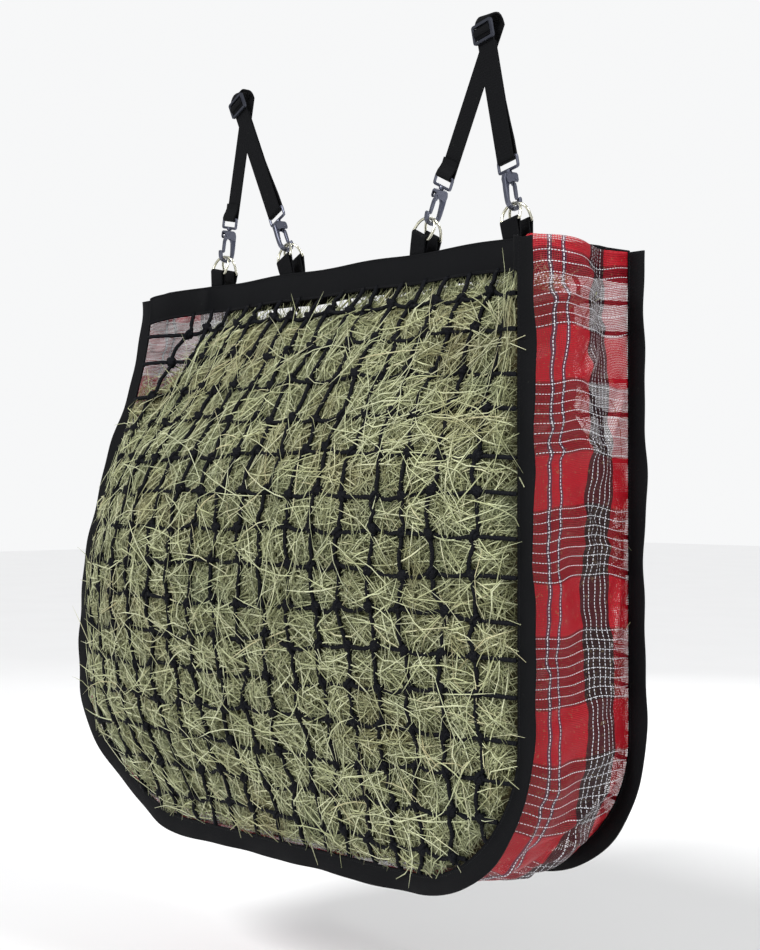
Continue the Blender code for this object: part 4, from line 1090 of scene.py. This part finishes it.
def build_binding(front):
    n = len(SEAM)
    x, z = SEAM[:, 0], SEAM[:, 1]
    nx, nz = SEAM_N[:, 0], SEAM_N[:, 1]
    y = seam_y(x, z, front)
    s = SEAM_S
    prof = strap_profile(FIN_W - 0.0006, FIN_T, (0.0035,))
    frames, uvs = [], []
    side = -1.0 if front else 1.0
    # the free edge waves a little
    wav = (0.0022 * np.sin(s * 21 + (0.3 if front else 1.9)) + 0.0014 * np.sin(s * 47 + 1.1)
           + 0.0008 * np.sin(s * 90))
    grow = 0.0009 * np.sin(s * 33 + 0.8)
    for i in range(n):
        u = prof[:, 0]
        f = u / FIN_W
        dy = wav[i] * f ** 1.5
        out = 0.0006 + u * (1 + grow[i] / FIN_W * f)
        pt = np.stack([x[i] + nx[i] * out, y[i] + dy + prof[:, 1], z[i] + nz[i] * out], 1)
        frames.append(pt)
        uvs.append(np.stack([u, np.full(len(u), s[i])], 1))
    name = "binding_front" if front else "binding_back"
    verts, faces = swept_profile(name, frames, prof, None)
    ob = make_object(name, verts, faces, MAT_WEB_UV, np.concatenate(uvs))
    close_normals(ob)
    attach(ob, "bag")
    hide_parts("front_edge_binding" if front else "back_edge_binding")
    for tag, sg in (("a", side), ("b", -side)):
        line = np.stack([x + nx * 0.0041, y + wav * 0.05 + sg * (FIN_T / 2 - 0.0003), z + nz * 0.0041], 1)
        stitches("stitch_%s_%s" % (name, tag), line[2:-2], np.tile((0, sg, 0), (n - 4, 1)).astype(float), "bag")
    return ob


build_binding(True)
build_binding(False)


def build_band(front):
    n = 170
    x = np.linspace(-(HALF_W + 0.0022), HALF_W + 0.0022, n)
    prof = strap_profile(BAND_H, BAND_T, (0.0034, BAND_H - 0.0034))
    frames, uvs = [], []
    sgn = -1.0 if front else 1.0
    top = mouth_top(x) + 0.0011 * np.sin(x * 34 + (0 if front else 2)) * (np.abs(x) < 0.34)
    for i in range(n):
        z = top[i] - prof[:, 0]
        xx = np.full(len(prof), x[i])
        zz = np.minimum(z, mouth_top(xx))
        ripple = 0.0010 * np.sin(x[i] * 58 + 0.4) * prof[:, 0] / BAND_H
        y = surface_y(xx, zz, front) + prof[:, 1] + ripple
        frames.append(np.stack([xx, y, z], 1))
        uvs.append(np.stack([prof[:, 0], xx], 1))
    name = "band_front" if front else "band_back"
    verts, faces = swept_profile(name, frames, prof, None)
    ob = make_object(name, verts, faces, MAT_WEB_UV, np.concatenate(uvs))
    close_normals(ob)
    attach(ob, "bag")
    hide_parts("front_top_band" if front else "back_top_band")
    for tag, d in (("top", 0.0034), ("low", BAND_H - 0.0034)):
        zz = top - d
        yy = surface_y(x, np.minimum(zz, mouth_top(x)), front) + sgn * (BAND_T / 2 - 0.0003)
        line = np.stack([x, yy, zz], 1)
        # outward normal of the band in plan
        g = np.gradient(line, axis=0)
        nrm = np.stack([-g[:, 1] * sgn * -1.0, g[:, 0] * sgn, np.zeros(n)], 1)
        nrm /= np.linalg.norm(nrm, axis=1)[:, None]
        line = line + nrm * 0.0001
        stitches("stitch_%s_%s" % (name, tag), line[2:-2], nrm[2:-2], "bag")
    return ob


build_band(True)
build_band(False)


# ------------------------------------------------------------------ D-rings, smooth round wire
def ring_path():
    w, h = 14.95, 23.4
    straight = h - w
    pts = [(-w + 2.2, 0, 0), (-w / 2, 0, 0), (0, 0, 0), (w / 2, 0, 0), (w - 2.2, 0, 0), (w - 0.9, 0, 0.25),
           (w - 0.25, 0, 0.9), (w, 0, 2.2), (w, 0, straight * 0.6)]
    for k in range(0, 25):
        a = math.pi * k / 24
        pts.append((w * math.cos(a), 0, straight + w * math.sin(a)))
    pts += [(-w, 0, straight * 0.6), (-w, 0, 2.2), (-w + 0.25, 0, 0.9), (-w + 0.9, 0, 0.25)]
    return np.array(pts) * MM


def closed_tube(name, pts, r, sides, mat, matrix):
    n = len(pts)
    t = np.roll(pts, -1, 0) - np.roll(pts, 1, 0)
    t /= np.linalg.norm(t, axis=1)[:, None]
    b = np.tile((0.0, 1.0, 0.0), (n, 1))
    a = np.cross(t, b)
    ang = 2 * np.pi * np.arange(sides) / sides
    ring = pts[:, None] + r * (np.cos(ang)[None, :, None] * a[:, None] + np.sin(ang)[None, :, None] * b[:, None])
    verts = ring.reshape(-1, 3)
    verts = np.array([matrix @ Vector(v) for v in verts])
    i = np.arange(n)[:, None] * sides
    inx = ((np.arange(n) + 1) % n)[:, None] * sides
    j = np.arange(sides)[None, :]
    jn = (j + 1) % sides
    quads = np.stack([i + j, i + jn, inx + jn, inx + j], -1).reshape(-1, 4)
    ob = make_object(name, verts, quads, mat)
    close_normals(ob)
    return ob


LEAN = math.asin(7.8 / 23.4)
for tag, side, hand, seat in HANGERS:
    phi = math.atan2(side * STRAP_X - seat, -0.012 - SEAT_Z)
    base = Matrix.Translation((seat, 0, SEAT_Z)) @ Matrix.Rotation(phi, 4, "Y")
    for where, sg in (("front", -1.0), ("back", 1.0)):
        m = (base @ Matrix.Translation((0, sg * 0.00205, 0)) @ Matrix.Rotation(sg * LEAN, 4, "X")
             @ Matrix.Translation((0, 0, -0.0234)))
        ob = closed_tube("ring_wire_%s_%s" % (where, tag), ring_path(), 0.00168, 14, MAT_RING, m)
        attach(ob, "ring_%s_%s" % (where, tag))
        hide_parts("d_ring_%s_%s" % (where, tag))

# ------------------------------------------------------------------ materials of the CAD pieces that stay
def paint(prefix, mat):
    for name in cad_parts:
        if name.startswith(prefix):
            ob = bpy.data.objects.get(name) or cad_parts[name]
            if isinstance(ob, str):
                ob = bpy.data.objects[ob]
            if not ob.material_slots:
                ob.data.materials.append(mat)
            for sl in ob.material_slots:
                sl.material = mat


paint("strap_", MAT_WEB_OBJ)
paint("tab_", MAT_WEB_OBJ)
paint("slider_wrap", MAT_WEB_OBJ)
paint("slider_left", MAT_SLIDE)
paint("slider_right", MAT_SLIDE)
paint("snap_", MAT_GUN)
paint("gate_pin", MAT_GUN)
paint("gate_spring", MAT_SPRING)

# ------------------------------------------------------------------ floor
FLOOR_Z = -1.16
floor_m = Mat("floor_pale")
fvec, fx, fy, fz = floor_m.obj()
floor_m.set(Base_Color=floor_m.mix(floor_m.noise(fvec, 3.0, 3.0, 0.5), (0.86, 0.86, 0.86), (0.90, 0.90, 0.90)), Roughness=0.9)
bm = bmesh.new()
bmesh.ops.create_grid(bm, x_segments=8, y_segments=8, size=14.0)
me = bpy.data.meshes.new("floor")
bm.to_mesh(me)
bm.free()
me.materials.append(floor_m.m)
floor = bpy.data.objects.new("floor", me)
floor.location = (0, 0, FLOOR_Z)
scene.collection.objects.link(floor)
